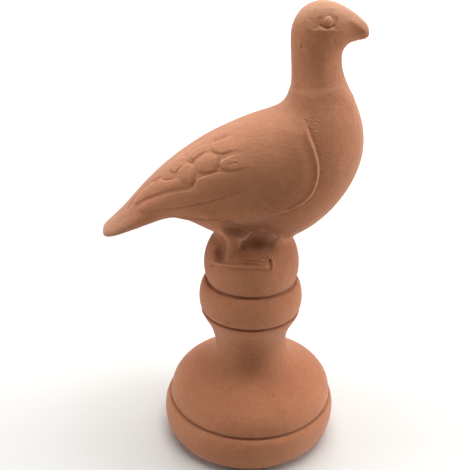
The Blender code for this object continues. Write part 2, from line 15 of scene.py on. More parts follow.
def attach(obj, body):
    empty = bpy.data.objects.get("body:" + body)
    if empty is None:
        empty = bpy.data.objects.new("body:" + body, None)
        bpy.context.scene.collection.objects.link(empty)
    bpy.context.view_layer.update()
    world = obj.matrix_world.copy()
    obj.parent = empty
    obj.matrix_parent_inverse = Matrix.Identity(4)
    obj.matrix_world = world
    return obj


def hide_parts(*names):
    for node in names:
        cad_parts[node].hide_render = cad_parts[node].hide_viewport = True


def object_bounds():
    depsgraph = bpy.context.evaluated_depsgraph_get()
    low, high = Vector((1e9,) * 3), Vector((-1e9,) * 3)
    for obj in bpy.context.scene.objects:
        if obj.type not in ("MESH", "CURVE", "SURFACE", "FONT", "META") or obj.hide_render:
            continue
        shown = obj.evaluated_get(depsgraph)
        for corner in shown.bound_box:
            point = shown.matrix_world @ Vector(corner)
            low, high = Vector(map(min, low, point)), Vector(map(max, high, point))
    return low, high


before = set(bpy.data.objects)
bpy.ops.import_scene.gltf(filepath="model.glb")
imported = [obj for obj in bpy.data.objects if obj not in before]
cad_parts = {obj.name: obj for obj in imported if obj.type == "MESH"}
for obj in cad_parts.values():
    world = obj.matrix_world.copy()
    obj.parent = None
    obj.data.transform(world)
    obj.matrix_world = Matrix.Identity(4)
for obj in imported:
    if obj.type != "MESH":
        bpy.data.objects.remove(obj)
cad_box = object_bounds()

bl_info = {
    "name": "Ridge Finial",
    "version": (1, 0, 0),
    "blender": (4, 5, 0),
    "location": "View3D > Sidebar > Finial",
    "description": "Models a clay ridge finial with a pigeon, and a studio to show it in",
    "category": "Add Mesh",
}

FINIAL_NODE = "pigeon_finial"

# How round the foot's moulding and the collar are; below 1 the side is straighter
BASE_ROUNDNESS, COLLAR_ROUNDNESS = 0.80, 1.0
# How strongly each curve is pulled from its low and its high end, in shares of its height
DOME_PULLS, FLARE_PULLS, CAP_PULLS = (0.62, 0.54), (0.50, 0.28), (0.20, 0.17)
# Points along each part of the stand's outline, and round the stand
BASE_STEPS, DOME_STEPS, FLARE_STEPS, COLLAR_STEPS, CAP_STEPS = 20, 24, 16, 16, 20
STAND_SIDES = 160
# How high the dome's shoulder is, in shares of the waist's height
SHOULDER_SHARE = 0.85
# Turning marks: their heights above the stem's waist, their depth and half width, in metres
STEM_LINES, STEM_LINE_DEPTH, STEM_LINE_WIDTH = (0.0, 0.0023, 0.0052), 0.0005, 0.0013
# How much deeper the grooves below dome, collar and cap are carved, and their half width, in metres
GROOVE_DEPTHS, GROOVE_WIDTH = (0.0011, 0.0011, 0.0015), 0.0014

# Bird's rings from tail to beak, in hundredths of its length: top and bottom in the mid plane,
# ahead of the stand's axis and above the perch, half the width, and how much fuller than that
# the upper part is
BIRD_RINGS = [
    ((-60.0, 1.6), (-59.4, -1.2), 4.4, -0.30),
    ((-57.2, 4.0), (-57.2, -1.9), 6.8, -0.45),
    ((-52.4, 8.8), (-51.6, 0.0), 8.2, -0.50),
    ((-47.3, 14.6), (-45.5, 2.4), 9.4, -0.45),
    ((-40.3, 22.7), (-38.6, 5.2), 11.4, -0.25),
    ((-32.3, 30.1), (-30.4, 8.2), 13.8, 0.0),
    ((-23.3, 36.7), (-22.0, 6.2), 16.4, 0.08),
    ((-13.8, 42.4), (-12.0, 0.0), 18.6, 0.12),
    ((-3.8, 47.2), (0.5, -2.6), 20.0, 0.13),
    ((3.5, 49.7), (12.0, -1.4), 20.4, 0.13),
    ((8.8, 51.6), (23.0, 4.6), 20.2, 0.10),
    ((11.6, 54.4), (32.0, 13.8), 19.4, 0.06),
    ((13.0, 58.0), (39.6, 25.4), 18.0, 0.0),
    ((13.2, 62.0), (42.0, 38.0), 15.4, 0.0),
    ((13.0, 66.6), (39.8, 49.5), 11.9, 0.0),
    ((12.6, 71.4), (34.9, 58.4), 9.9, 0.0),
    ((12.2, 76.2), (31.4, 65.6), 9.3, 0.0),
    ((12.2, 81.0), (30.8, 71.0), 8.9, 0.0),
    ((14.2, 86.3), (31.2, 73.4), 8.9, 0.0),
    ((18.8, 89.9), (32.4, 75.0), 8.3, 0.0),
    ((24.6, 90.8), (33.6, 76.0), 7.0, 0.0),
    ((30.4, 88.8), (35.4, 76.4), 4.8, 0.0),
    ((35.4, 85.8), (37.4, 76.8), 3.4, 0.0),
    ((38.3, 83.4), (39.4, 77.3), 2.6, 0.0),
    ((39.9, 81.6), (40.4, 78.4), 1.5, 0.0),
]
# Corners of its rings, and how often the surface between them is divided
BIRD_SIDES, BIRD_LEVELS = 16, 3
# How square the bird's section is above and below its middle; 2 is an ellipse
BIRD_SQUARENESS, ELLIPSE = (2.15, 2.6), (2.0, 2.0)

# Hollows beside the web under the belly: centre and reach in hundredths of the bird's length, and
# the shares of painted shade and of pale colour, dust with painted light, on the clay there
HOLLOWS = [
    ((2.2, -15.2, 2.7), (8.0, 5.1, 4.2), (0.00, 0.28)),
    ((8.2, -15.4, 1.5), (7.0, 5.0, 3.4), (0.00, 0.30)),
    ((-13.8, -14.8, -1.2), (5.4, 6.6, 5.8), (0.40, 0.06)),
]
# Corners of each hollow's cutter round and along it, and how many grains its voxel takes
CUTTER_SEGMENTS, CUTTER_RINGS, CUTTER_GRAINS = 32, 20, 2
# Leg's middle line and its half widths, from inside the belly down to the foot
LEG_RINGS = [
    ((-1.4, -12.4, 15.0), 10.6, 3.6),
    ((-1.8, -12.4, 11.5), 10.2, 3.6),
    ((-3.4, -12.4, 8.5), 8.6, 3.6),
    ((-6.0, -12.2, 5.4), 6.0, 3.3),
    ((-7.1, -11.7, 3.0), 3.8, 3.0),
    ((-6.8, -11.6, 1.5), 2.8, 2.8),
    ((-6.7, -11.8, 0.0), 2.45, 2.8),
    ((-6.65, -12.3, -2.0), 2.5, 2.8),
    ((-6.9, -13.0, -4.5), 3.3, 2.8),
    ((-7.0, -13.6, -7.0), 4.0, 2.8),
]
LEG_SIDES, LIMB_LEVELS = 12, 2
LEG_SQUARENESS = (2.8, 2.8)
# Web between belly and cap: its rings' middles and half widths
WEB_RINGS = [
    ((0.0, 0.0, 9.0), 14.0, 11.5),
    ((0.2, 0.0, 5.0), 15.2, 12.6),
    ((0.7, 0.0, 2.0), 15.8, 12.8),
    ((0.6, 0.0, -1.0), 15.7, 13.0),
    ((0.3, 0.0, -5.0), 15.8, 13.4),
]
WEB_SIDES = 16
# Box round the seams of belly, web, legs and cap, which a wet sponge rounds, in hundredths of the
# bird's length, and how far from the box's sides that fades in, in metres
WEB_BOX, WEB_FADE = ((-21.0, -19.5, -10.0), (18.0, 19.5, 9.0)), 0.0080
# Heights over which that fades towards the belly's lip, and the share of it that the lip is spared
LIP_FADE, LIP_SPARED = (-1.5, 2.5), 0.85
# The sponge's steps from none to full, its strength and its passes
SPONGE_STEPS, SPONGE_STRENGTH, SPONGE_PASSES = 10, 0.5, 80

# Wing's edge from the shoulder down the front, back to the tip and over the back. Here and below,
# a place in the side view is ahead of the stand's axis and above the perch, in hundredths of the
# bird's length
WING_EDGE = [
    (16.4, 54.0), (17.4, 50.6), (18.2, 48.4), (19.0, 46.2), (20.2, 43.4), (21.5, 40.0), (22.4, 36.8),
    (22.8, 34.1), (22.7, 31.4), (22.0, 27.9), (20.3, 24.3), (17.1, 21.2), (11.7, 18.3), (6.5, 16.6),
    (2.1, 15.7), (-2.7, 14.7), (-7.6, 13.8), (-12.9, 12.9), (-17.9, 12.1), (-25.7, 11.4),
    (-38.0, 11.4), (-47.8, 12.2), (-52.0, 18.0), (-30.0, 42.0), (0.0, 58.0),
]
# How far in from its edge the wing's relief still changes, in metres
WING_REACH = 0.0120
# Where the wing steps up, the bead's line and half width, and the dip outside it, all in half
# widths of the bead, and the dip's share of the bead's height
WING_STEP = (-1.3, -0.3)
BEAD_LINE, BEAD_WIDTH = 0.1, 1.2
DIP_LINE, DIP_WIDTH, DIP_SHARE = 1.6, 0.8, 0.2
# Where the wing's edge fades out up the shoulder, and fades in ahead of the tail
SHOULDER_FADE, TAIL_FADE = (46.0, 53.0), (-38.0, -24.0)
# Where the wing starts to swell behind its bead, and swells in full
SWELL_FADE = (4.0, 15.0)
# How far off the crest the carving fades in, on the right and on the left, in metres
CREST_FADE = ((0.0020, 0.0140), (0.0220, 0.0320))

# Feathers: how long the root of each is, and its drawn edge from there round the tip and back
FEATHERS = [
    (6.0, [
        (-6.5, 43.2), (-9.0, 42.5), (-10.9, 41.7), (-12.2, 41.1), (-13.8, 40.3), (-15.1, 39.5),
        (-15.6, 38.6), (-15.1, 37.8), (-13.8, 37.4), (-11.9, 37.4), (-10.1, 37.8), (-8.3, 38.5),
        (-6.5, 39.1), (-3.5, 40.3),
    ]),
    (2.0, [
        (-11.6, 36.0), (-12.7, 36.7), (-13.8, 37.0), (-15.4, 37.1), (-17.3, 36.5), (-18.9, 35.4),
        (-20.2, 34.2), (-20.8, 32.8), (-20.4, 31.6), (-19.5, 30.9), (-18.1, 30.8), (-16.0, 31.2),
        (-13.9, 31.9), (-12.3, 32.6),
    ]),
    (1.5, [
        (-20.6, 31.8), (-21.2, 32.3), (-22.6, 32.6), (-24.0, 32.5), (-25.6, 31.5), (-27.0, 30.1),
        (-27.6, 28.9), (-27.3, 27.7), (-26.2, 26.8), (-24.5, 26.4), (-22.4, 26.5), (-20.9, 27.6),
    ]),
    (2.0, [
        (-24.2, 34.0), (-25.7, 33.7), (-27.4, 32.9), (-29.4, 31.5), (-30.7, 30.2), (-31.3, 29.0),
        (-30.7, 28.4), (-29.2, 28.4), (-28.0, 28.9), (-26.8, 30.4), (-25.2, 32.0),
    ]),
    (4.0, [
        (-14.8, 40.2), (-16.5, 39.4), (-18.1, 38.6), (-20.0, 37.5), (-21.9, 36.3), (-23.2, 35.2),
        (-23.7, 34.2), (-22.7, 33.6), (-21.5, 33.9), (-19.6, 35.4), (-17.6, 36.8), (-15.4, 37.5),
    ]),
    (8.0, [
        (-3.0, 39.4), (-6.5, 38.3), (-8.8, 37.2), (-10.8, 36.2), (-12.0, 35.3), (-12.3, 34.4),
        (-11.6, 33.6), (-10.5, 33.1), (-8.7, 32.9), (-6.3, 33.2), (-4.3, 33.8), (-1.5, 34.6),
        (2.1, 35.4),
    ]),
    (14.0, [
        (0.0, 34.2), (-4.0, 32.7), (-8.0, 32.2), (-12.3, 32.0), (-14.4, 31.3), (-16.5, 30.4),
        (-18.6, 29.6), (-20.2, 28.4), (-21.0, 26.8), (-21.6, 25.6), (-24.0, 24.2), (-27.6, 23.2),
        (-31.0, 21.8), (-35.6, 19.4), (-39.6, 17.0), (-42.8, 14.4), (-43.6, 13.0), (-42.2, 12.5),
        (-38.5, 13.6), (-34.0, 15.2), (-29.9, 16.6), (-26.9, 17.4), (-24.1, 18.3), (-21.4, 19.4),
        (-18.1, 20.6), (-14.4, 22.0), (-10.7, 23.8), (-7.0, 25.3), (-3.6, 26.7),
    ]),
    (5.0, [
        (-25.0, 28.4), (-27.4, 27.5), (-29.6, 26.6), (-31.9, 25.6), (-33.7, 25.2), (-35.6, 24.9),
        (-36.8, 24.0), (-38.5, 22.5), (-40.6, 20.6), (-42.7, 18.6), (-44.5, 16.4), (-45.6, 14.6),
        (-45.2, 13.9), (-44.1, 14.1), (-42.3, 15.7), (-39.3, 17.9), (-35.2, 20.3), (-30.6, 22.7),
        (-27.3, 24.1), (-24.5, 24.9), (-21.8, 26.2),
    ]),
]
# Shares of a feather's height that it gains at its edge and further in, and how far in, in metres
FEATHER_EDGE, FEATHER_SWELL, FEATHER_REACH = 0.72, 0.28, 0.0045
# Stretch of the wing's rim with scratches beside it
SCRATCHED_RIM = [(20.6, 52.0), (20.2, 48.4), (20.8, 43.4), (22.2, 38.0), (22.8, 34.1)]
# The scratches' depth, reach and spacing in metres, and how steeply they slant
SCRATCH_DEPTH, SCRATCH_REACH, SCRATCH_SPACING, SCRATCH_SLANT = 0.00027, 0.0110, 0.0022, 0.25
# How much they waver and over what length, along and up the side view
SCRATCH_WAVER = ((2.2, 0.0130), (1.7, 0.0170))
# Their patches' length and shift, along and up, and where a patch starts and is full
SCRATCH_PATCHES, PATCH_FADE = ((0.0075, 1.3), (0.0061, 0.4)), (-0.2, 0.7)
# Cuts drawn between and along feathers: line, half width and depth in millimetres
CUTS = [
    ([(-12.5, 36.0), (-12.2, 34.6), (-12.3, 33.4)], 1.0, 0.8),
    ([(-9.2, 34.8), (-7.7, 35.1), (-5.6, 35.7)], 0.8, 0.5),
    ([(-14.6, 40.1), (-12.2, 41.2), (-10.2, 42.1)], 1.1, 0.8),
    ([(-21.6, 33.4), (-22.4, 32.9), (-24.3, 33.0)], 1.1, 0.9),
    ([(-38.0, 23.0), (-36.4, 24.3), (-35.2, 25.1)], 1.0, 0.7),
    ([(-33.7, 25.2), (-31.9, 25.7), (-29.6, 26.6)], 0.9, 0.5),
    ([(-48.4, 11.0), (-47.4, 12.6), (-46.6, 14.0), (-46.1, 15.4)], 1.2, 1.1),
    ([(-21.0, 28.0), (-21.3, 27.0), (-21.6, 25.8)], 0.9, 0.5),
    ([(-32.0, 15.4), (-25.3, 17.6), (-17.7, 20.4), (-10.2, 23.2), (-4.7, 25.3)], 1.5, 0.45),
]
# Flank pressed in below the wing: its crisp border, then the rest of its outline
FLANK_BORDER = [
    (15.5, 20.8), (11.7, 19.0), (6.5, 17.5), (2.1, 16.6), (-2.7, 15.6), (-7.6, 14.7), (-11.4, 14.1),
    (-12.0, 11.6), (-11.7, 8.6), (-10.8, 5.6), (-9.8, 3.4),
]
FLANK_REST = [(-6.0, 1.5), (0.0, 1.5), (14.0, 0.0), (22.0, 10.0)]
# Heights where it fades in, and places ahead of the stand's axis where it fades out
FLANK_LEVELS, FLANK_FRONT = (4.0, 9.0), (2.0, 16.0)
# Its crisp step at the border and its soft hollow: depth, and the width that it takes, in metres
FLANK_STEP, FLANK_HOLLOW = (0.0018, 0.0012), (0.0034, 0.0130)
# Lip of the belly over the front hollow
HOLLOW_LIP = [(-3.0, 3.9), (-0.7, 6.1), (3.8, 7.5), (8.8, 6.1), (11.9, 3.9), (14.6, 4.0)]
# Its rise and its widths above and below, in metres
LIP_LEDGE = (0.0016, 0.0070, 0.0012)
# Line round the neck's foot where neck and body were joined in the mould
NECK_SEAM = [
    (11.0, 58.4), (15.2, 59.7), (17.7, 60.3), (20.7, 60.4), (23.4, 60.7), (25.6, 61.1), (28.3, 61.8),
    (30.2, 61.7), (32.3, 60.2), (36.0, 56.6),
]
# The step below that line: rise, half width, and where it fades out further down, in metres
SEAM_RISE, SEAM_WIDTH, SEAM_FADE = 0.0007, 0.0022, (0.003, 0.014)
# Thin hem along the wing's lower edge, above the flank
WING_HEM = [
    (-16.0, 13.9), (-11.4, 14.6), (-7.6, 15.1), (-2.7, 16.0), (2.1, 16.9), (6.5, 17.8), (11.0, 19.1),
]
# Its wide and its narrow ledge: rise and widths above and below, in metres
HEM_LEDGES = ((0.0015, 0.0060, 0.0008), (0.0010, 0.0016, 0.0007))
# Ridge along the tail's side, and its rise and half width in metres
TAIL_RIDGE = [(-48.2, 11.3), (-51.7, 8.5), (-55.3, 5.1), (-57.6, 2.4)]
TAIL_RIDGE_RISE, TAIL_RIDGE_WIDTH = 0.0006, 0.0040

# Middle of the eye, its socket's depth, half length and half height, and its bead's rise, in metres
EYE = (24.7, 84.4)
SOCKET_DEPTH, SOCKET_LENGTH, SOCKET_HEIGHT, EYE_RISE = 0.0009, 0.0100, 0.0058, 0.0020
# Lines of the head: place, width above, width below and rise, in millimetres
HEAD_LINES = [
    ([(21.4, 81.8), (23.0, 81.5), (24.6, 81.4), (26.2, 81.8)], 1.6, 6.4, 0.55),
    ([(22.2, 83.2), (23.6, 82.4), (25.2, 82.3), (26.9, 82.9)], 1.2, 1.0, -0.9),
    ([(21.9, 85.6), (21.5, 84.4), (21.9, 83.2)], 1.6, 1.6, -0.5),
    ([(26.9, 83.0), (27.5, 84.2), (27.3, 85.6)], 1.4, 1.4, -0.4),
    ([(18.4, 84.6), (19.6, 83.9), (21.0, 82.8)], 2.4, 1.6, -0.28),
    ([(18.0, 82.0), (19.4, 81.3), (20.8, 80.6)], 2.2, 2.6, 0.20),
    ([(33.2, 84.0), (34.4, 83.4), (36.2, 81.9), (38.5, 79.9)], 3.0, 4.2, 0.55),
    ([(29.2, 78.6), (31.2, 78.3), (33.6, 77.7), (36.6, 77.1)], 1.8, 1.8, -0.5),
]

# Toes on the front of the cap: line, width above, width below and rise, in millimetres
TOES = [
    (
        [(-13.9, -7.7), (-10.5, -7.0), (-5.6, -6.4), (-0.8, -6.2), (2.7, -6.3), (6.0, -7.0)],
        2.4, 1.2, 1.9,
    ),
    ([(-4.4, -4.7), (-0.5, -4.8), (2.4, -5.2), (5.6, -6.0)], 1.0, 0.8, 1.2),
    ([(-3.4, -3.4), (0.5, -3.5), (4.2, -4.2)], 1.2, 0.8, 1.0),
    ([(6.6, -3.4), (7.7, -4.2), (8.1, -5.8), (8.0, -8.0)], 1.1, 1.1, 1.1),
]
# Pits left by bubbles and grit: place in the side view, half width and depth in millimetres
PITS = [
    ((-15.3, -9.7), 1.7, 1.2), ((-8.3, -30.6), 1.5, 0.9), ((28.9, -62.1), 1.5, 0.9),
    ((9.9, -62.7), 1.4, 0.8), ((7.0, -4.2), 1.4, 0.7), ((-12.2, 3.5), 1.6, 1.0),
    ((-10.6, 4.4), 1.5, 0.8), ((-11.6, 1.6), 1.4, 0.8), ((-3.8, -88.5), 2.4, 0.9),
    ((1.2, -89.6), 3.2, 0.9), ((3.0, -88.9), 2.0, 0.8), ((6.2, -89.6), 2.6, 0.9),
    ((-8.8, -87.0), 1.8, 0.6), ((7.0, -4.7), 1.5, 0.9), ((16.1, 75.4), 1.5, 0.9),
    ((27.1, 76.9), 1.2, 0.5), ((5.1, 19.3), 1.6, 0.8), ((5.5, 16.9), 1.8, 1.0),
    ((-25.5, 34.1), 1.4, 0.7), ((-31.5, 30.8), 1.3, 0.6), ((20.2, 47.5), 1.3, 0.5),
    ((17.8, 51.2), 1.4, 0.5),
]
# How far off the mid plane toes and pits fade in, in metres
TOE_FADE, PIT_FADE = (0.018, 0.024), (0.001, 0.006)
# Waves of the hand-pressed surface: name, length in metres and share of the unevenness
PRESSED_WAVES = (("broad waves", 0.030, 1.0), ("finger marks", 0.009, 0.45))
# Points lower than this, in metres, are set on the ground
GROUND_LEVEL = 0.0006

# Share of pale colour, partly dust and partly a painted highlight, on the back, the head and the tail,
# and where it starts and is full, in metres: heights for the first two, and places ahead of the
# stand's axis, from full to none, for the tail
BACK_DUST_AND_HIGHLIGHT, HEAD_DUST_AND_HIGHLIGHT, TAIL_DUST_AND_HIGHLIGHT = 0.20, 0.32, 0.36
BACK_DUST_AND_HIGHLIGHT_FADE, HEAD_DUST_AND_HIGHLIGHT_FADE, TAIL_DUST_AND_HIGHLIGHT_FADE = (0.22, 0.26), (0.31, 0.36), (-0.115, -0.085)
# How far upwards the clay faces where that dust and painted highlight start and where all stays;
# 1 is straight up
DUST_AND_HIGHLIGHT_SLOPE = (0.0, 0.9)
# Where the painted shade, and the dust with painted light, of a hollow fade out, in shares of its reach
HOLLOW_FADE = (0.97, 1.05)
# Share of painted shade on the flank below the wing, where it starts in from the border, in metres,
# and where it fades in with height and out towards the front
FLANK_PAINTED_SHADE, FLANK_PAINTED_SHADE_FADE = 0.36, (0.0012, 0.0032)
FLANK_PAINTED_SHADE_LEVELS, FLANK_PAINTED_SHADE_FRONT = (0.0, 6.0), (4.0, 20.0)
# Share of that painted shade that the hollow's lip is spared, and the widths above and below its
# line, in metres
UNSHADED_LIP = (0.8, 0.0060, 0.0030)
# Patch of painted shade low on the wing: middle, reach, share, and where it thins, in shares of its
# reach
WING_SHADE_PATCH, WING_SHADE_PATCH_REACH = (2.0, 26.0), (19.0, 13.0)
WING_PAINTED_SHADE, WING_PAINTED_SHADE_FADE = 0.20, (0.2, 1.0)
# Share of painted shade in the turned grooves, and its half width in metres
GROOVE_PAINTED_SHADE, GROOVE_PAINTED_SHADE_WIDTH = 0.50, 0.0019

# Soft lights: name, place, the point that it faces, width, power in watts and spread in degrees
SOFT_LIGHTS = (
    ("overhead light", (0.08, 0.17, 1.35), (0.0, 0.0, 0.2), 1.3, 28.4, 180),
    ("right light", (1.65, 0.12, 0.6), (0.0, 0.0, 0.2), 1.1, 20.5, 180),
    ("left light", (-1.64, -0.12, 0.55), (0.0, 0.0, 0.2), 1.1, 13.0, 180),
    ("background light", (0.0, 2.5, 1.9), (0.0, 2.5, 0.0), 2.2, 55.0, 90),
)
ROOM_COLOUR, ROOM_LIGHT = (1.0, 0.99, 0.98, 1.0), 0.01
FLOOR_WIDTH = 16.0
# Camera's turns in degrees: to the left, up from straight down, and round its own line of sight
CAMERA_TURNS = ((1.36, "Z"), (90 - 25.6, "X"), (0.65, "Z"))
CAMERA_LENS, SENSOR_WIDTH = 60.51, 36.0

# Places of a colour Mix node's sockets
MIX_SHARE, MIX_FIRST, MIX_SECOND, MIX_RESULT = 0, 6, 7, 2
# Squared length that a stretch of a line is taken to have at least
TINY = 1e-12


def linear_colour(code):
    """An sRGB hex code as linear red, green, blue and full alpha."""
    channels = [int(code[i : i + 2], 16) / 255 for i in (1, 3, 5)]
    return [c / 12.92 if c <= 0.04045 else ((c + 0.055) / 1.055) ** 2.4 for c in channels] + [1.0]


def length_setting(name, description, default):
    """A length that the user can change in the sidebar."""
    return bpy.props.FloatProperty(
        name=name, description=description, default=default, min=0.0, unit="LENGTH", precision=4
    )


def colour_setting(name, description, code):
    """A colour that the user can change in the sidebar."""
    return bpy.props.FloatVectorProperty(
        name=name,
        description=description,
        default=linear_colour(code),
        size=4,
        min=0.0,
        max=1.0,
        subtype="COLOR",
    )


class FinialSizes(bpy.types.PropertyGroup):
    """Sizes of the turned stand and of the bird"""

    base_radius: length_setting("Base radius", "Largest radius of the moulding round the foot", 0.0758)
    base_foot_radius: length_setting("Foot radius", "Radius of the flat underside", 0.0615)
    base_height: length_setting("Base height", "Height of the moulding round the foot", 0.0370)
    dome_radius: length_setting("Dome radius", "Radius at the dome's foot", 0.0715)
    dome_height: length_setting("Dome height", "From the base groove to the stem's waist", 0.0530)
    stem_radius: length_setting("Stem radius", "Radius at the stem's waist", 0.0310)
    flare_height: length_setting("Flare height", "From the waist to the collar", 0.0355)
    collar_foot_radius: length_setting("Collar foot radius", "Radius at the collar's foot", 0.0426)
    collar_height: length_setting("Collar height", "Height of the collar", 0.0280)
    collar_bulge: length_setting("Collar bulge", "How far the collar swells", 0.0034)
    cap_radius: length_setting("Cap radius", "Radius at the cap's foot", 0.0388)
    cap_height: length_setting("Cap height", "Height of the cap", 0.0420)
    perch_radius: length_setting("Perch radius", "Radius of the cap's top", 0.0285)
    groove_depth: length_setting("Groove depth", "Depth of the turned grooves", 0.0018)
    flare_curl: length_setting("Flare curl", "How far the flare curls in under the collar", 0.0030)
    cap_belly: length_setting("Cap belly", "How full the cap's lower half is", 0.0040)
    cap_shoulder: length_setting("Cap shoulder", "How full the cap's upper half is", 0.0020)
    foot_setback: length_setting("Foot setback", "How far the foot's moulding stands back", 0.0005)
    shoulder_lead: length_setting("Shoulder lead", "How far the dome's shoulder stands forward", 0.0024)
    bird_length: length_setting("Bird length", "From the tail to the beak", 0.2080)
    grain_size: length_setting("Grain size", "Voxel that the forms are fused with", 0.0006)


class FinialCarving(bpy.types.PropertyGroup):
    """Relief of the wings, the eyes and the skin"""

    wing_lift: length_setting("Wing lift", "How far the wing stands off the body", 0.0013)
    wing_rim: length_setting("Wing rim", "Height of the bead along the wing's edge", 0.0010)
    rim_width: length_setting("Rim width", "Half width of that bead", 0.0017)
    wing_swell: length_setting("Wing swell", "How far the wing swells behind its bead", 0.0011)
    feather_lift: length_setting("Feather lift", "How far a feather stands up", 0.0013)
    edge_width: length_setting("Edge width", "Width of the slope at a feather's edge", 0.0010)
    eye_radius: length_setting("Eye radius", "Radius of the eye's bead", 0.0034)
    unevenness: length_setting("Unevenness", "How far the hand-pressed surface wanders", 0.0005)
    triangles: bpy.props.IntProperty(
        name="Triangles",
        description="Triangles left in the finished casting",
        default=190000,
        min=20000,
        max=199000,
    )


class FinialClay(bpy.types.PropertyGroup):
    """Colours of the fired clay, of a pale dusting with painted light, and of the painted shade"""

    fired: colour_setting("Fired clay", "Main colour of the fired red clay", "#B57550")
    pale: colour_setting("Pale clay", "Paler clay where the surface is rubbed", "#C08563")
    deep: colour_setting("Deep clay", "Deeper clay where it fired harder", "#AD6D4A")
    # Pale colour, partly dust and partly painted light: a painted highlight on upper sides, and paler
    # front hollows
    dust_and_painted_light: colour_setting("Dust_and_painted_light", "Dust on the bird's upper sides and in its front hollows", "#BE977C")
    # Colour of the painted shade in the recesses, the grooves, the flank and low on the wing
    painted_shade: colour_setting("Painted_shade", "Brown soil that lies in the recesses", "#7E5845")


class FinialStudio(bpy.types.PropertyGroup):
    """Floor and camera"""

    floor: colour_setting("Floor", "Colour of the floor", "#DCDBD8")
    camera_distance: length_setting("Camera distance", "How far the camera stands from the axis", 0.594)
    camera_height: length_setting("Camera height", "How high the camera stands", 0.477)


def select_only(obj):
    """Makes one object the only selected one, and the active one."""
    bpy.ops.object.select_all(action="DESELECT")
    obj.select_set(True)
    bpy.context.view_layer.objects.active = obj


def apply_modifier(obj, name, kind, **settings):
    """Adds a modifier with its settings and applies it."""
    select_only(obj)
    modifier = obj.modifiers.new(name, kind)
    for key, value in settings.items():
        setattr(modifier, key, value)
    bpy.ops.object.modifier_apply(modifier=modifier.name)


def points_and_normals(mesh):
    """The mesh's points and their normals, as two arrays."""
    arrays = []
    for layer, value in ((mesh.vertices, "co"), (mesh.vertex_normals, "vector")):
        numbers = np.empty(len(mesh.vertices) * 3, np.float32)
        layer.foreach_get(value, numbers)
        arrays.append(numbers.reshape(-1, 3).astype(float))
    return arrays


def move_points(mesh, co):
    """Puts the mesh's points at new places."""
    mesh.vertices.foreach_set("co", co.astype(np.float32).ravel())
    mesh.update()


def smooth_step(low, high, value):
    """Rises smoothly from 0 at low to 1 at high."""
    t = np.clip((value - low) / (high - low), 0.0, 1.0)
    return t * t * (3 - 2 * t)


def wave(place, length, shift=0.0):
    """A wave of the given length, between -1 and 1."""
    return np.sin(2 * math.pi * place / length + shift)


def cubic(start, start_pull, end_pull, end, steps):
    """Points of a cubic curve in the profile plane, without its first point."""
    points = []
    for i in range(1, steps + 1):
        t = i / steps
        weights = ((1 - t) ** 3, 3 * t * (1 - t) ** 2, 3 * t * t * (1 - t), t**3)
        corners = (start, start_pull, end_pull, end)
        points.append(tuple(sum(w * c[k] for w, c in zip(weights, corners)) for k in (0, 1)))
    return points


def moulding(start, end, bulge, steps, roundness):
    """Points of a moulding that swells between two heights; a roundness of 1 is an ellipse."""
    points = []
    for i in range(1, steps + 1):
        t = i / steps
        radius = start[0] + (end[0] - start[0]) * t + bulge * math.sin(math.pi * t) ** roundness
        points.append((radius, start[1] + (end[1] - start[1]) * (1 - math.cos(math.pi * t)) / 2))
    return points


def stem_height(sizes):
    """Height of the stem's waist, where the dome ends."""
    return sizes.base_height + sizes.dome_height


def cap_foot_height(sizes):
    """Height of the cap's foot, where the collar ends."""
    return stem_height(sizes) + sizes.flare_height + sizes.collar_height


def perch_height(sizes):
    """Height of the cap's top, where the bird stands."""
    return cap_foot_height(sizes) + sizes.cap_height


def groove_levels(sizes):
    """Heights of the grooves at the foot of the dome, the collar and the cap."""
    return sizes.base_height, stem_height(sizes) + sizes.flare_height, cap_foot_height(sizes)


def stand_profile(sizes):
    """The stand's outline as (radius, height), from the underside's edge to the perch's edge."""
    groove = sizes.groove_depth
    base_level, collar_level, cap_level = groove_levels(sizes)
    foot = (sizes.base_foot_radius, 0.0)
    base_top = (sizes.dome_radius - groove, base_level)
    base_bulge = sizes.base_radius - (foot[0] + base_top[0]) / 2
    points = [foot] + moulding(foot, base_top, base_bulge, BASE_STEPS, BASE_ROUNDNESS)
    dome_foot, waist = (sizes.dome_radius, base_level + groove), (sizes.stem_radius, stem_height(sizes))
    low = (sizes.dome_radius, base_level + DOME_PULLS[0] * sizes.dome_height)
    high = (sizes.stem_radius, waist[1] - DOME_PULLS[1] * sizes.dome_height)
    points += [dome_foot] + cubic(dome_foot, low, high, waist, DOME_STEPS)
    flare_top = (sizes.collar_foot_radius, collar_level - groove)
    low = (sizes.stem_radius, waist[1] + FLARE_PULLS[0] * sizes.flare_height)
    curl_height = collar_level - FLARE_PULLS[1] * sizes.flare_height
    high = (sizes.collar_foot_radius - sizes.flare_curl, curl_height)
    points += cubic(waist, low, high, flare_top, FLARE_STEPS)
    collar_foot = (sizes.collar_foot_radius - groove, collar_level)
    collar_top = (sizes.cap_radius - groove, cap_level)
    bulge = sizes.collar_bulge + groove
    points.append(collar_foot)
    points += moulding(collar_foot, collar_top, bulge, COLLAR_STEPS, COLLAR_ROUNDNESS)
    perch_edge = (sizes.perch_radius, perch_height(sizes))
    low = (sizes.cap_radius + sizes.cap_belly, cap_level + CAP_PULLS[0] * sizes.cap_height)
    high = (sizes.cap_radius + sizes.cap_shoulder, perch_edge[1] - CAP_PULLS[1] * sizes.cap_height)
    return points + cubic(collar_top, low, high, perch_edge, CAP_STEPS)


def foot_lean(sizes, height):
    """How far the foot stands ahead of the turning axis at a height; none at the underside."""
    shoulder_height = SHOULDER_SHARE * stem_height(sizes)
    if height <= 0:
        return 0.0
    if height < shoulder_height:
        share = (1 - math.cos(math.pi * height / shoulder_height)) / 2
        return (sizes.foot_setback + sizes.shoulder_lead) * share - sizes.foot_setback
    fade = min((height - shoulder_height) / (stem_height(sizes) - shoulder_height) / 2, 1.0)
    return sizes.shoulder_lead * (1 + math.cos(math.pi * fade)) / 2


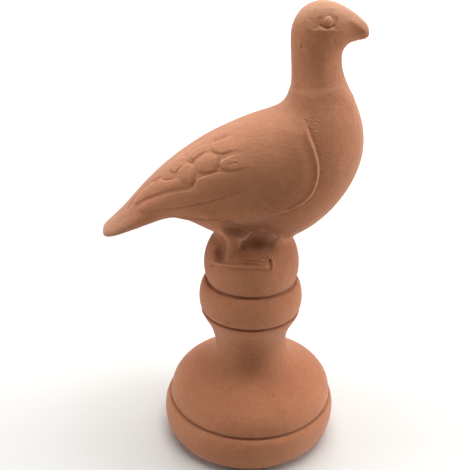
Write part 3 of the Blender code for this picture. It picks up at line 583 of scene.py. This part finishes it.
def turned_stand(sizes):
    """Extrudes the foot's disc up through every ring of the stand's profile."""
    profile = stand_profile(sizes)
    bpy.ops.object.select_all(action="DESELECT")
    bpy.ops.mesh.primitive_circle_add(
        vertices=STAND_SIDES, radius=profile[0][0], fill_type="NGON"
    )
    stand = bpy.context.object
    bpy.ops.object.mode_set(mode="EDIT")
    shift = 0.0
    for (radius, height), (next_radius, next_height) in zip(profile, profile[1:]):
        step = foot_lean(sizes, next_height) - shift
        shift += step
        rise = {"value": (step, 0, next_height - height)}
        bpy.ops.mesh.extrude_region_move(TRANSFORM_OT_translate=rise)
        growth = next_radius / radius
        bpy.ops.transform.resize(value=(growth, growth, 1), center_override=(shift, 0, next_height))
    bpy.ops.object.mode_set(mode="OBJECT")
    return stand


def bird_point(sizes, share):
    """A point given in hundredths of the bird's length from the middle of the perch."""
    return Vector((0.0, 0.0, perch_height(sizes))) + Vector(share) * sizes.bird_length / 100


def places_ahead(sizes, shares):
    """Places ahead of the stand's axis in metres, from hundredths of the bird's length."""
    return [bird_point(sizes, (u, 0.0, 0.0)).x for u in shares]


def levels_above(sizes, shares):
    """Heights in metres, from hundredths of the bird's length above the perch."""
    return [bird_point(sizes, (0.0, 0.0, v)).z for v in shares]


def lofted_form(rings, sides, levels):
    """Bridges oval rings into a closed form.

    A ring is its middle, half length, half width, tilt, how much fuller its upper half is, and how
    square its upper and lower halves are.
    """
    bpy.ops.object.select_all(action="DESELECT")
    swell = 3 / (2 + math.cos(2 * math.pi / sides))
    form = None
    for number, (middle, half_length, half_width, tilt, full, square) in enumerate(rings):
        closed = "NGON" if number in (0, len(rings) - 1) else "NOTHING"
        bpy.ops.mesh.primitive_circle_add(vertices=sides, radius=swell, fill_type=closed)
        if form is None:
            form = bpy.context.object
            bpy.ops.object.mode_set(mode="EDIT")
        bm = bmesh.from_edit_mesh(form.data)
        for vert in bm.verts:
            if vert.select:
                rise = vert.co.x / swell
                power = square[0] if rise > 0 else square[1]
                side = swell * max(1 - abs(rise) ** power, 0.0) ** (1 / power)
                vert.co.y = math.copysign(side, vert.co.y) * (1 + full * rise)
        bpy.ops.transform.resize(value=(half_length, half_width, 1), center_override=(0, 0, 0))
        bpy.ops.transform.rotate(value=tilt, orient_axis="Y", center_override=(0, 0, 0))
        bpy.ops.transform.translate(value=middle)
        if number:
            bridge_last_rings(form, sides)
    bpy.ops.mesh.select_all(action="SELECT")
    bpy.ops.mesh.normals_make_consistent(inside=False)
    bpy.ops.object.mode_set(mode="OBJECT")
    apply_modifier(form, "rounding", "SUBSURF", levels=levels, render_levels=levels)
    return form


def bridge_last_rings(form, sides):
    """Joins the newest ring of points to the one before it."""
    bpy.ops.mesh.select_mode(type="EDGE")
    bpy.ops.mesh.select_all(action="DESELECT")
    bm = bmesh.from_edit_mesh(form.data)
    newest = len(bm.verts) // sides - 1
    for edge in bm.edges:
        rings = {vert.index // sides for vert in edge.verts}
        edge.select = len(rings) == 1 and min(rings) >= newest - 1
    bm.select_flush_mode()
    bmesh.update_edit_mesh(form.data)
    bpy.ops.mesh.bridge_edge_loops()


def bird_body(sizes):
    """The bird from tail to beak, smooth and uncarved."""
    rings = []
    for top, bottom, half_width, full in BIRD_RINGS:
        high = bird_point(sizes, (top[0], 0.0, top[1]))
        low = bird_point(sizes, (bottom[0], 0.0, bottom[1]))
        reach = (high - low) / 2
        tilt = math.atan2(reach.z, reach.x)
        square = BIRD_SQUARENESS if full > 0 else ELLIPSE
        width = half_width * sizes.bird_length / 100
        rings.append(((high + low) / 2, reach.length, width, tilt, full, square))
    return lofted_form(rings, BIRD_SIDES, BIRD_LEVELS)


def upright_form(sizes, shares, side, corners, square):
    """A leg or the web from level rings, on the right (1) or the left (-1)."""
    rings = []
    share = sizes.bird_length / 100
    for middle, half_length, half_width in shares:
        place = bird_point(sizes, (middle[0], middle[1] * side, middle[2]))
        rings.append((place, half_length * share, half_width * share, 0.0, 0.0, square))
    return lofted_form(rings, corners, LIMB_LEVELS)


def hollow_cutters(sizes):
    """Egg-shaped cutters ahead of and behind both legs, fused where they meet, as one mesh."""
    bpy.ops.object.select_all(action="DESELECT")
    for side in (1, -1):
        for centre, reach, _ in HOLLOWS:
            first = bpy.context.mode == "OBJECT"
            bpy.ops.mesh.primitive_uv_sphere_add(
                segments=CUTTER_SEGMENTS, ring_count=CUTTER_RINGS, radius=1
            )
            if first:
                cutters = bpy.context.object
                bpy.ops.object.mode_set(mode="EDIT")
            bpy.ops.transform.resize(
                value=[r * sizes.bird_length / 100 for r in reach], center_override=(0, 0, 0)
            )
            place = bird_point(sizes, (centre[0], centre[1] * side, centre[2]))
            bpy.ops.transform.translate(value=place)
    bpy.ops.object.mode_set(mode="OBJECT")
    voxel = CUTTER_GRAINS * sizes.grain_size
    apply_modifier(cutters, "fusing", "REMESH", mode="VOXEL", voxel_size=voxel)
    return cutters


def fused_casting(sizes):
    """Cuts the hollows, and fuses stand, bird and legs into one skin."""
    stand, bird, cutters = turned_stand(sizes), bird_body(sizes), hollow_cutters(sizes)
    web = upright_form(sizes, WEB_RINGS, 1, WEB_SIDES, ELLIPSE)
    for form in (stand, bird, web):
        apply_modifier(form, "hollows", "BOOLEAN", operation="DIFFERENCE", object=cutters)
    select_only(cutters)
    bpy.ops.object.delete()
    legs = [upright_form(sizes, LEG_RINGS, side, LEG_SIDES, LEG_SQUARENESS) for side in (1, -1)]
    select_only(stand)
    for form in [bird, web] + legs:
        form.select_set(True)
    bpy.ops.object.join()
    apply_modifier(stand, "fusing", "REMESH", mode="VOXEL", voxel_size=sizes.grain_size)
    return stand


def soften_web(casting, sizes):
    """Rounds the seams where belly, web, legs and cap run together, as a wet sponge does."""
    co = points_and_normals(casting.data)[0]
    low, high = (np.array(bird_point(sizes, corner)) for corner in WEB_BOX)
    inside = np.minimum(co - low, high - co).min(1)
    weights = smooth_step(0.0, WEB_FADE, inside)
    weights *= 1 - LIP_SPARED * smooth_step(*levels_above(sizes, LIP_FADE), co[:, 2])
    group = casting.vertex_groups.new(name="web")
    for level in range(1, SPONGE_STEPS + 1):
        chosen = np.flatnonzero(np.round(weights * SPONGE_STEPS) == level)
        group.add(chosen.tolist(), level / SPONGE_STEPS, "REPLACE")
    apply_modifier(
        casting, "sponging", "SMOOTH",
        factor=SPONGE_STRENGTH, iterations=SPONGE_PASSES, vertex_group="web",
    )
    casting.vertex_groups.clear()


def ridge(distance, width):
    """A rounded ridge's height, 1 on its line and nothing past its half width."""
    return 1 - smooth_step(0.0, width, distance)


def side_points(sizes, shares):
    """Side view shares as metres ahead of the axis and above the underside."""
    places = [bird_point(sizes, (u, 0.0, v)) for u, v in shares]
    return [(place.x, place.z) for place in places]


def rounded_line(points, steps=6, closed=False):
    """Points of a smooth line through the given ones."""
    last = len(points) - 1
    line = []
    for i in range(len(points) if closed else last):
        places = range(i - 1, i + 3)
        if closed:
            near = [points[k % len(points)] for k in places]
        else:
            near = [points[min(max(k, 0), last)] for k in places]
        for j in range(steps):
            t = j / steps
            weights = (
                -0.5 * t + t * t - 0.5 * t**3,
                1 - 2.5 * t * t + 1.5 * t**3,
                0.5 * t + 2 * t * t - 1.5 * t**3,
                -0.5 * t * t + 0.5 * t**3,
            )
            line.append(tuple(sum(w * p[k] for w, p in zip(weights, near)) for k in (0, 1)))
    return line if closed else line + [points[-1]]


def drawn_line(sizes, shares, **settings):
    """A smooth line through places of the side view, in metres."""
    return rounded_line(side_points(sizes, shares), **settings)


def line_distance(x, z, line, closed=False, reach=0.006):
    """Distance of each side view point from a line; points past its reach keep that distance."""
    nearest = np.full(x.shape, reach)
    ends = line[1:] + line[:1] if closed else line[1:]
    for (x0, z0), (x1, z1) in zip(line, ends):
        near = (x > min(x0, x1) - reach) & (x < max(x0, x1) + reach)
        near &= (z > min(z0, z1) - reach) & (z < max(z0, z1) + reach)
        dx, dz = x1 - x0, z1 - z0
        ahead, above = x[near] - x0, z[near] - z0
        along = np.clip((ahead * dx + above * dz) / max(dx * dx + dz * dz, TINY), 0.0, 1.0)
        nearest[near] = np.minimum(nearest[near], np.hypot(ahead - along * dx, above - along * dz))
    return nearest


def ledge(x, z, line, above, below):
    """A ridge on a line, with one width above it and another below."""
    places = np.array(line)
    order = np.argsort(places[:, 0])
    level = np.interp(x, places[order, 0], places[order, 1])
    width = np.where(z > level, above, below)
    return ridge(line_distance(x, z, line), width)


def inside_line(x, z, line):
    """Whether each side view point lies inside a closed line."""
    inside = np.zeros(x.shape, bool)
    for (x0, z0), (x1, z1) in zip(line, line[1:] + line[:1]):
        if z0 != z1:
            crosses = (z0 > z) != (z1 > z)
            inside ^= crosses & (x < (x1 - x0) * (z - z0) / (z1 - z0) + x0)
    return inside


def lay_feather(sizes, carving, x, z, feather, lifts):
    """Lays one feather over the others: pillowed, crisp at its drawn edge and sunk at its root."""
    root, outline = feather
    drawn = drawn_line(sizes, outline, steps=4)
    inside = inside_line(x, z, drawn)
    x, z = x[inside], z[inside]
    to_edge = line_distance(x, z, drawn)
    fade = root * sizes.bird_length / 100
    to_root = line_distance(x, z, [drawn[-1], drawn[0]], reach=fade)
    pillow = FEATHER_EDGE * smooth_step(0.0, carving.edge_width, to_edge)
    pillow += FEATHER_SWELL * smooth_step(0.0, FEATHER_REACH, to_edge)
    height = carving.feather_lift * pillow * smooth_step(0.0, fade, to_root)
    lifts[inside] = np.maximum(lifts[inside], height)


def wing_edge_relief(sizes, carving, x, z):
    """How far the wing with its bead stands off the smooth bird."""
    edge = drawn_line(sizes, WING_EDGE, closed=True)
    to_edge = line_distance(x, z, edge, closed=True, reach=WING_REACH)
    inward = np.where(inside_line(x, z, edge), to_edge, -to_edge)
    width = carving.rim_width
    height = carving.wing_lift * smooth_step(*[share * width for share in WING_STEP], inward)
    height += carving.wing_rim * ridge(np.abs(inward - BEAD_LINE * width), BEAD_WIDTH * width)
    dip = ridge(np.abs(inward + DIP_LINE * width), DIP_WIDTH * width)
    height -= DIP_SHARE * carving.wing_rim * dip
    swell = carving.wing_swell * smooth_step(width, WING_REACH, inward)
    height += swell * smooth_step(*places_ahead(sizes, SWELL_FADE), x)
    height *= 1 - smooth_step(*levels_above(sizes, SHOULDER_FADE), z)
    return height * smooth_step(*places_ahead(sizes, TAIL_FADE), x)


def wing_relief(sizes, carving, x, z):
    """How far the wing, its feathers and its cuts stand off the smooth bird."""
    height = wing_edge_relief(sizes, carving, x, z)
    lifts = np.zeros(x.shape)
    for feather in FEATHERS:
        lay_feather(sizes, carving, x, z, feather, lifts)
    height += lifts
    for cut, half_width, depth in CUTS:
        to_cut = line_distance(x, z, drawn_line(sizes, cut))
        height -= depth / 1000 * ridge(to_cut, half_width / 1000)
    to_tail = line_distance(x, z, drawn_line(sizes, TAIL_RIDGE))
    height += TAIL_RIDGE_RISE * ridge(to_tail, TAIL_RIDGE_WIDTH)
    hem = drawn_line(sizes, WING_HEM)
    for rise, above, below in HEM_LEDGES:
        height += rise * ledge(x, z, hem, above, below)
    return height


def flank_relief(sizes, x, z):
    """Presses the flank in below the wing, crisp at the wing and fading out towards the belly."""
    border = drawn_line(sizes, FLANK_BORDER)
    inside = inside_line(x, z, border + side_points(sizes, FLANK_REST))
    (step, step_width), (hollow, hollow_width) = FLANK_STEP, FLANK_HOLLOW
    to_border = line_distance(x, z, border, reach=hollow_width)
    depth = step * smooth_step(0.0, step_width, to_border)
    depth += hollow * smooth_step(0.0, hollow_width, to_border)
    depth *= smooth_step(*levels_above(sizes, FLANK_LEVELS), z)
    depth *= 1 - smooth_step(*places_ahead(sizes, FLANK_FRONT), x)
    rise, above, below = LIP_LEDGE
    rim = rise * ledge(x, z, drawn_line(sizes, HOLLOW_LIP), above, below)
    return np.where(inside, -depth, 0.0) + rim


def seam_relief(sizes, x, z):
    """The step below the seam round the neck's foot, which fades out over the shoulder."""
    places = np.array(drawn_line(sizes, NECK_SEAM))
    # Past the seam's two ends its height is given as far below, so no step shows there
    below = np.interp(x, places[:, 0], places[:, 1], left=-1.0, right=-1.0) - z
    step = SEAM_RISE * smooth_step(-SEAM_WIDTH, SEAM_WIDTH, below)
    return step * (1 - smooth_step(*SEAM_FADE, below))


def scratch_relief(sizes, x, z):
    """Fine scratches in patches across the wing's rim, where a tool cleaned the mould's seam."""
    rim = drawn_line(sizes, SCRATCHED_RIM)
    band = ridge(line_distance(x, z, rim, reach=SCRATCH_REACH), SCRATCH_REACH)
    (sway_x, length_x), (sway_z, length_z) = SCRATCH_WAVER
    wander = sway_x * wave(x, length_x) + sway_z * wave(z, length_z)
    marks = wave(z + SCRATCH_SLANT * x, SCRATCH_SPACING, wander)
    patches = wave(x, *SCRATCH_PATCHES[0]) * wave(z, *SCRATCH_PATCHES[1])
    return SCRATCH_DEPTH * band * marks * smooth_step(*PATCH_FADE, patches)


def groove_relief(sizes, z):
    """Deepens the three turned grooves into crisp, dark lines, and marks the stem's waist."""
    height = np.zeros(z.shape)
    for above in STEM_LINES:
        from_line = np.abs(z - stem_height(sizes) - above)
        height -= STEM_LINE_DEPTH * ridge(from_line, STEM_LINE_WIDTH)
    for level, depth in zip(groove_levels(sizes), GROOVE_DEPTHS):
        height -= depth * ridge(np.abs(z - level), GROOVE_WIDTH)
    return height


def head_relief(sizes, carving, x, z):
    """The eye's bead in its socket, the lid and creases round it, and the bill's ridge."""
    eye_x, eye_z = side_points(sizes, [EYE])[0]
    from_eye = np.hypot(x - eye_x, z - eye_z)
    in_socket = np.hypot((x - eye_x) / SOCKET_LENGTH, (z - eye_z) / SOCKET_HEIGHT)
    height = -SOCKET_DEPTH * ridge(in_socket, 1.0)
    height += EYE_RISE * np.sqrt(1 - np.clip(from_eye / carving.eye_radius, 0.0, 1.0) ** 2)
    for line, above, below, rise in HEAD_LINES:
        drawn = drawn_line(sizes, line)
        height += rise / 1000 * ledge(x, z, drawn, above / 1000, below / 1000)
    return height


def foot_relief(sizes, x, z, off):
    """The toes on the front of the cap, which fade in off the mid plane."""
    height = np.zeros(x.shape)
    for line, above, below, rise in TOES:
        drawn = drawn_line(sizes, line)
        height = np.maximum(height, rise / 1000 * ledge(x, z, drawn, above / 1000, below / 1000))
    return height * smooth_step(*TOE_FADE, off)


def pit_relief(sizes, x, z, off):
    """Small pits, as round dents, which fade in off the mid plane."""
    height = np.zeros(x.shape)
    for place, width, depth in PITS:
        pit_x, pit_z = side_points(sizes, [place])[0]
        height -= depth / 1000 * ridge(np.hypot(x - pit_x, z - pit_z), width / 1000)
    return height * smooth_step(*PIT_FADE, off)


def carve(casting, sizes, carving):
    """Raises the wings, feathers, eyes and toes on the fused skin, and presses in the cuts."""
    co, normals = points_and_normals(casting.data)
    x, y, z = co.T
    off, on_right = np.abs(y), y < 0
    right, left = (smooth_step(*fade, off) for fade in CREST_FADE)
    height = wing_relief(sizes, carving, x, z) * np.where(on_right, right, left)
    height += flank_relief(sizes, x, z) + seam_relief(sizes, x, z) + groove_relief(sizes, z)
    height += scratch_relief(sizes, x, z)
    height += head_relief(sizes, carving, x, z)
    height += foot_relief(sizes, x, z, off)
    height += np.where(on_right, pit_relief(sizes, x, z, off), 0.0)
    move_points(casting.data, co + normals * height[:, None])


def press_unevenly(casting, carving):
    """Lets the surface wander a little, as clay pressed into a mould by hand does."""
    for name, length, share in PRESSED_WAVES:
        clouds = bpy.data.textures.new(name, "CLOUDS")
        clouds.noise_scale = length
        clouds.noise_depth = 1
        apply_modifier(
            casting,
            name,
            "DISPLACE",
            texture=clouds,
            texture_coords="LOCAL",
            strength=carving.unevenness * share,
            mid_level=0.5,
        )
        bpy.data.textures.remove(clouds)


def upper_dust_and_highlight(x, z, normals):
    """How much pale colour, partly a dusting and partly a painted highlight, lies on the bird's back,
    head and tail.
    """
    # Paler where the clay faces up: partly dust, partly a painted highlight
    upper = smooth_step(*DUST_AND_HIGHLIGHT_SLOPE, normals[:, 2])
    back = BACK_DUST_AND_HIGHLIGHT * smooth_step(*BACK_DUST_AND_HIGHLIGHT_FADE, z)
    head = HEAD_DUST_AND_HIGHLIGHT * smooth_step(*HEAD_DUST_AND_HIGHLIGHT_FADE, z)
    return np.maximum(upper * (back + head), TAIL_DUST_AND_HIGHLIGHT * (1 - smooth_step(*TAIL_DUST_AND_HIGHLIGHT_FADE, x)))


def flank_painted_shade(sizes, x, z):
    """How much painted shade lies on the pressed flank under the wing, off its border and off the
    hollow's lip.
    """
    border = drawn_line(sizes, FLANK_BORDER)
    inside = inside_line(x, z, border + side_points(sizes, FLANK_REST))
    # Painted shade on the flank under the wing's overhang
    painted_shade = smooth_step(*FLANK_PAINTED_SHADE_FADE, line_distance(x, z, border))
    painted_shade *= smooth_step(*levels_above(sizes, FLANK_PAINTED_SHADE_LEVELS), z)
    painted_shade *= 1 - smooth_step(*places_ahead(sizes, FLANK_PAINTED_SHADE_FRONT), x)
    unshaded, above, below = UNSHADED_LIP
    painted_shade *= 1 - unshaded * ledge(x, z, drawn_line(sizes, HOLLOW_LIP), above, below)
    return np.where(inside, FLANK_PAINTED_SHADE * painted_shade, 0.0)


def wing_painted_shade(sizes, x, z):
    """How much painted shade lies in the patch low on the wing."""
    patch_x, patch_z = side_points(sizes, [WING_SHADE_PATCH])[0]
    reach_x, reach_z = (share * sizes.bird_length / 100 for share in WING_SHADE_PATCH_REACH)
    spread = np.hypot((x - patch_x) / reach_x, (z - patch_z) / reach_z)
    return WING_PAINTED_SHADE * (1 - smooth_step(*WING_PAINTED_SHADE_FADE, spread))


def store_painted_light_and_dust(casting, sizes):
    """Stores the pale colour on upper sides and in front hollows, a dusting with painted light, and the
    painted shade in the recesses.
    """
    co, normals = points_and_normals(casting.data)
    x, y, z = co[:, 0], -np.abs(co[:, 1]), co[:, 2]
    dust_and_painted_light = upper_dust_and_highlight(x, z, normals)
    painted_shade = np.maximum(flank_painted_shade(sizes, x, z), wing_painted_shade(sizes, x, z))
    # Painted shade in the turned grooves
    for level in groove_levels(sizes):
        painted_shade = np.maximum(painted_shade, GROOVE_PAINTED_SHADE * ridge(np.abs(z - level), GROOVE_PAINTED_SHADE_WIDTH))
    # Painted shade in the rear hollows; pale colour, dust with painted light, in the front hollows
    for centre, reach, (painted_shade_share, dust_and_painted_light_share) in HOLLOWS:
        middle = bird_point(sizes, centre)
        size = np.array(reach) * sizes.bird_length / 100
        offsets = (np.stack([x, y, z], 1) - np.array(middle)) / size
        depth = 1 - smooth_step(*HOLLOW_FADE, np.linalg.norm(offsets, axis=1))
        painted_shade, dust_and_painted_light = np.maximum(painted_shade, painted_shade_share * depth), np.maximum(dust_and_painted_light, dust_and_painted_light_share * depth)
    # Stored as the painted shade and the pale dusting with painted light
    for name, amount in (("painted_shade", painted_shade), ("dust_and_painted_light", dust_and_painted_light)):
        attribute = casting.data.attributes.new(name, "FLOAT", "POINT")
        attribute.data.foreach_set("value", amount.astype(np.float32))


def keep_in_box(casting, box):
    """Holds every point inside the frame's box, and the underside flat on the ground."""
    low, high = (np.array(corner) for corner in box)
    co = points_and_normals(casting.data)[0]
    co[:, 2] = np.where(co[:, 2] < GROUND_LEVEL, 0.0, co[:, 2])
    move_points(casting.data, np.clip(co, low, high))


def add_node(tree, kind, values=None, links=None, **settings):
    """Adds a shader node, sets its options and input values, and links its inputs."""
    node = tree.nodes.new(kind)
    for key, value in settings.items():
        setattr(node, key, value)
    for socket, value in (values or {}).items():
        node.inputs[socket].default_value = value
    for socket, source in (links or {}).items():
        tree.links.new(source, node.inputs[socket])
    return node


def shaded_material(name, values):
    """A material whose shader has the given input values, and that shader."""
    material = bpy.data.materials.new(name)
    material.use_nodes = True
    shader = material.node_tree.nodes["Principled BSDF"]
    for socket, value in values.items():
        shader.inputs[socket].default_value = value
    return material, shader


def fired_terracotta(clay):
    """Terracotta: iron-rich red clay pressed into a mould and fired without a glaze.

    It is matt all over. Its red wanders between paler and deeper patches, and fine grit and grog
    make it grainy. Pale colour, partly a dusting and partly painted light, dulls the bird's upper
    sides and front hollows, and brown painted shade lies in the recesses.
    """
    material, shader = shaded_material(
        "fired terracotta",
        {"Roughness": 0.88, "Specular IOR Level": 0.4, "Sheen Weight": 0.22, "Sheen Roughness": 0.45},
    )
    tree = material.node_tree
    place = add_node(tree, "ShaderNodeTexCoord").outputs["Object"]
    along_wing = add_node(
        tree,
        "ShaderNodeMapping",
        {"Rotation": (0.0, math.radians(25), 0.0), "Scale": (65.0, 200.0, 480.0)},
        {"Vector": place},
    ).outputs["Vector"]
    # Patches about 40 mm across where the kiln's air differed, mottling about 5 mm across of dust
    # and rubbed clay, grit and grog of 0.5 to 2 mm, and streaks 2 mm wide and 15 mm long, left by
    # the brush or sponge that smoothed the wet clay
    patches, mottling, grit, streaks = (
        add_node(
            tree,
            "ShaderNodeTexNoise",
            {"Scale": scale, "Detail": detail, "Roughness": roughness},
            {"Vector": vector},
        ).outputs["Fac"]
        for vector, scale, detail, roughness in (
            (place, 25.0, 3.0, 0.55),
            (place, 190.0, 4.0, 0.6),
            (place, 560.0, 3.0, 0.7),
            (along_wing, 1.0, 2.0, 0.5),
        )
    )
    # Share of the main colour, share of rubbed clay, and how light or dark the grain is
    fired, rubbed, grain = (
        add_node(
            tree,
            "ShaderNodeMapRange",
            {"From Min": from_min, "From Max": from_max, "To Min": to_min, "To Max": to_max},
            {"Value": pattern},
        ).outputs["Result"]
        for pattern, from_min, from_max, to_min, to_max in (
            (patches, 0.35, 0.65, 0.0, 1.0),
            (mottling, 0.45, 0.75, 0.0, 0.35),
            (grit, 0.3, 0.7, 0.92, 1.07),
        )
    )
    ends = {MIX_FIRST: clay.deep, MIX_SECOND: clay.fired}
    base = add_node(tree, "ShaderNodeMix", ends, {MIX_SHARE: fired}, data_type="RGBA")
    links = {MIX_SHARE: rubbed, MIX_FIRST: base.outputs[MIX_RESULT]}
    clean = add_node(tree, "ShaderNodeMix", {MIX_SECOND: clay.pale}, links, data_type="RGBA")
    links = {0: clean.outputs[MIX_RESULT], 1: grain}
    toned = add_node(tree, "ShaderNodeVectorMath", None, links, operation="MULTIPLY")
    colour = toned.outputs["Vector"]
    # Mixes in the pale colour, dust with painted light, and then the painted shade
    for name, cover in (("dust_and_painted_light", clay.dust_and_painted_light), ("painted_shade", clay.painted_shade)):
        amount = add_node(tree, "ShaderNodeAttribute", attribute_name=name).outputs["Fac"]
        links = {MIX_SHARE: amount, MIX_FIRST: colour}
        mix = add_node(tree, "ShaderNodeMix", {MIX_SECOND: cover}, links, data_type="RGBA")
        colour = mix.outputs[MIX_RESULT]
    tree.links.new(colour, shader.inputs["Base Color"])
    height = mottling
    for pattern, share in ((grit, 0.45), (streaks, 0.6)):
        height = add_node(
            tree, "ShaderNodeMath", {1: share}, {0: pattern, 2: height}, operation="MULTIPLY_ADD"
        ).outputs["Value"]
    bump = add_node(
        tree, "ShaderNodeBump", {"Strength": 0.7, "Distance": 0.0007}, {"Height": height}
    )
    tree.links.new(bump.outputs["Normal"], shader.inputs["Normal"])
    return material


class FINIAL_OT_casting(bpy.types.Operator):
    """Model the finial's one casting, and put it in place of the frame's solid"""

    bl_idname = "finial.casting"
    bl_label = "Clay Casting"

    def execute(self, context):
        scene = context.scene
        sizes, carving = scene.finial_sizes, scene.finial_carving
        casting = fused_casting(sizes)
        casting.name = casting.data.name = "pigeon_casting"
        soften_web(casting, sizes)
        carve(casting, sizes, carving)
        press_unevenly(casting, carving)
        triangles = sum(len(face.vertices) - 2 for face in casting.data.polygons)
        apply_modifier(casting, "thinning", "DECIMATE", ratio=carving.triangles / triangles)
        keep_in_box(casting, cad_box)
        store_painted_light_and_dust(casting, sizes)
        select_only(casting)
        bpy.ops.object.shade_smooth()
        casting.data.materials.clear()
        casting.data.materials.append(fired_terracotta(scene.finial_clay))
        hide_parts(FINIAL_NODE)
        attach(casting, "root")
        return {"FINISHED"}


def floor_finish(colour):
    """Matt white studio paper, which gives back soft light from below."""
    values = {"Base Color": colour, "Roughness": 0.9, "Specular IOR Level": 0.1}
    return shaded_material("matt studio paper", values)[0]


def softbox(name, place, target, size, power, spread):
    """A square soft light that faces a point."""
    bpy.ops.object.light_add(type="AREA", location=place)
    light = bpy.context.object
    light.name = name
    light.data.shape = "SQUARE"
    light.data.size = size
    light.data.energy = power
    light.data.spread = math.radians(spread)
    light.rotation_euler = (Vector(target) - Vector(place)).to_track_quat("-Z", "Y").to_euler()


class FINIAL_OT_studio(bpy.types.Operator):
    """Add the pale floor, the soft lights and the camera"""

    bl_idname = "finial.studio"
    bl_label = "Studio"

    def execute(self, context):
        studio = context.scene.finial_studio
        bpy.ops.object.select_all(action="DESELECT")
        bpy.ops.mesh.primitive_plane_add(size=FLOOR_WIDTH)
        floor = bpy.context.object
        floor.name = floor.data.name = "studio_floor"
        floor.data.materials.append(floor_finish(studio.floor))
        for light in SOFT_LIGHTS:
            softbox(*light)
        world = bpy.data.worlds.new("white room")
        world.use_nodes = True
        backdrop = world.node_tree.nodes["Background"]
        backdrop.inputs["Color"].default_value = ROOM_COLOUR
        backdrop.inputs["Strength"].default_value = ROOM_LIGHT
        context.scene.world = world
        bpy.ops.object.camera_add(location=(0.0, -studio.camera_distance, studio.camera_height))
        camera = bpy.context.object
        camera.name = "studio camera"
        yaw, pitch, roll = (
            Matrix.Rotation(math.radians(angle), 3, axis) for angle, axis in CAMERA_TURNS
        )
        camera.rotation_euler = (yaw @ pitch @ roll).to_euler()
        camera.data.lens = CAMERA_LENS
        camera.data.sensor_width = SENSOR_WIDTH
        context.scene.camera = camera
        context.scene.view_settings.view_transform = "Standard"
        return {"FINISHED"}


class FINIAL_PT_panel(bpy.types.Panel):
    """The finial's sizes, carving, clay and studio"""

    bl_idname = "FINIAL_PT_panel"
    bl_label = "Ridge Finial"
    bl_space_type = "VIEW_3D"
    bl_region_type = "UI"
    bl_category = "Finial"

    def draw(self, context):
        scene = context.scene
        for title, group, operator in SECTIONS:
            box = self.layout.box()
            box.label(text=title)
            settings = getattr(scene, group)
            for name in settings.bl_rna.properties.keys():
                if name not in ("rna_type", "name"):
                    box.prop(settings, name)
            if operator:
                box.operator(operator)


SECTIONS = (
    ("Sizes", "finial_sizes", None),
    ("Clay", "finial_clay", None),
    ("Carving", "finial_carving", "finial.casting"),
    ("Studio", "finial_studio", "finial.studio"),
)
GROUPS = {
    "finial_sizes": FinialSizes,
    "finial_carving": FinialCarving,
    "finial_clay": FinialClay,
    "finial_studio": FinialStudio,
}
CLASSES = (*GROUPS.values(), FINIAL_OT_casting, FINIAL_OT_studio, FINIAL_PT_panel)


def register():
    """Registers the classes, and puts the settings on the scene."""
    for item in CLASSES:
        bpy.utils.register_class(item)
    for name, group in GROUPS.items():
        setattr(bpy.types.Scene, name, bpy.props.PointerProperty(type=group))


def unregister():
    """Takes the settings and the classes away again."""
    for name in GROUPS:
        delattr(bpy.types.Scene, name)
    for item in reversed(CLASSES):
        bpy.utils.unregister_class(item)


def main():
    register()
    bpy.ops.finial.casting()
    bpy.ops.finial.studio()


if __name__ == "__main__":
    main()
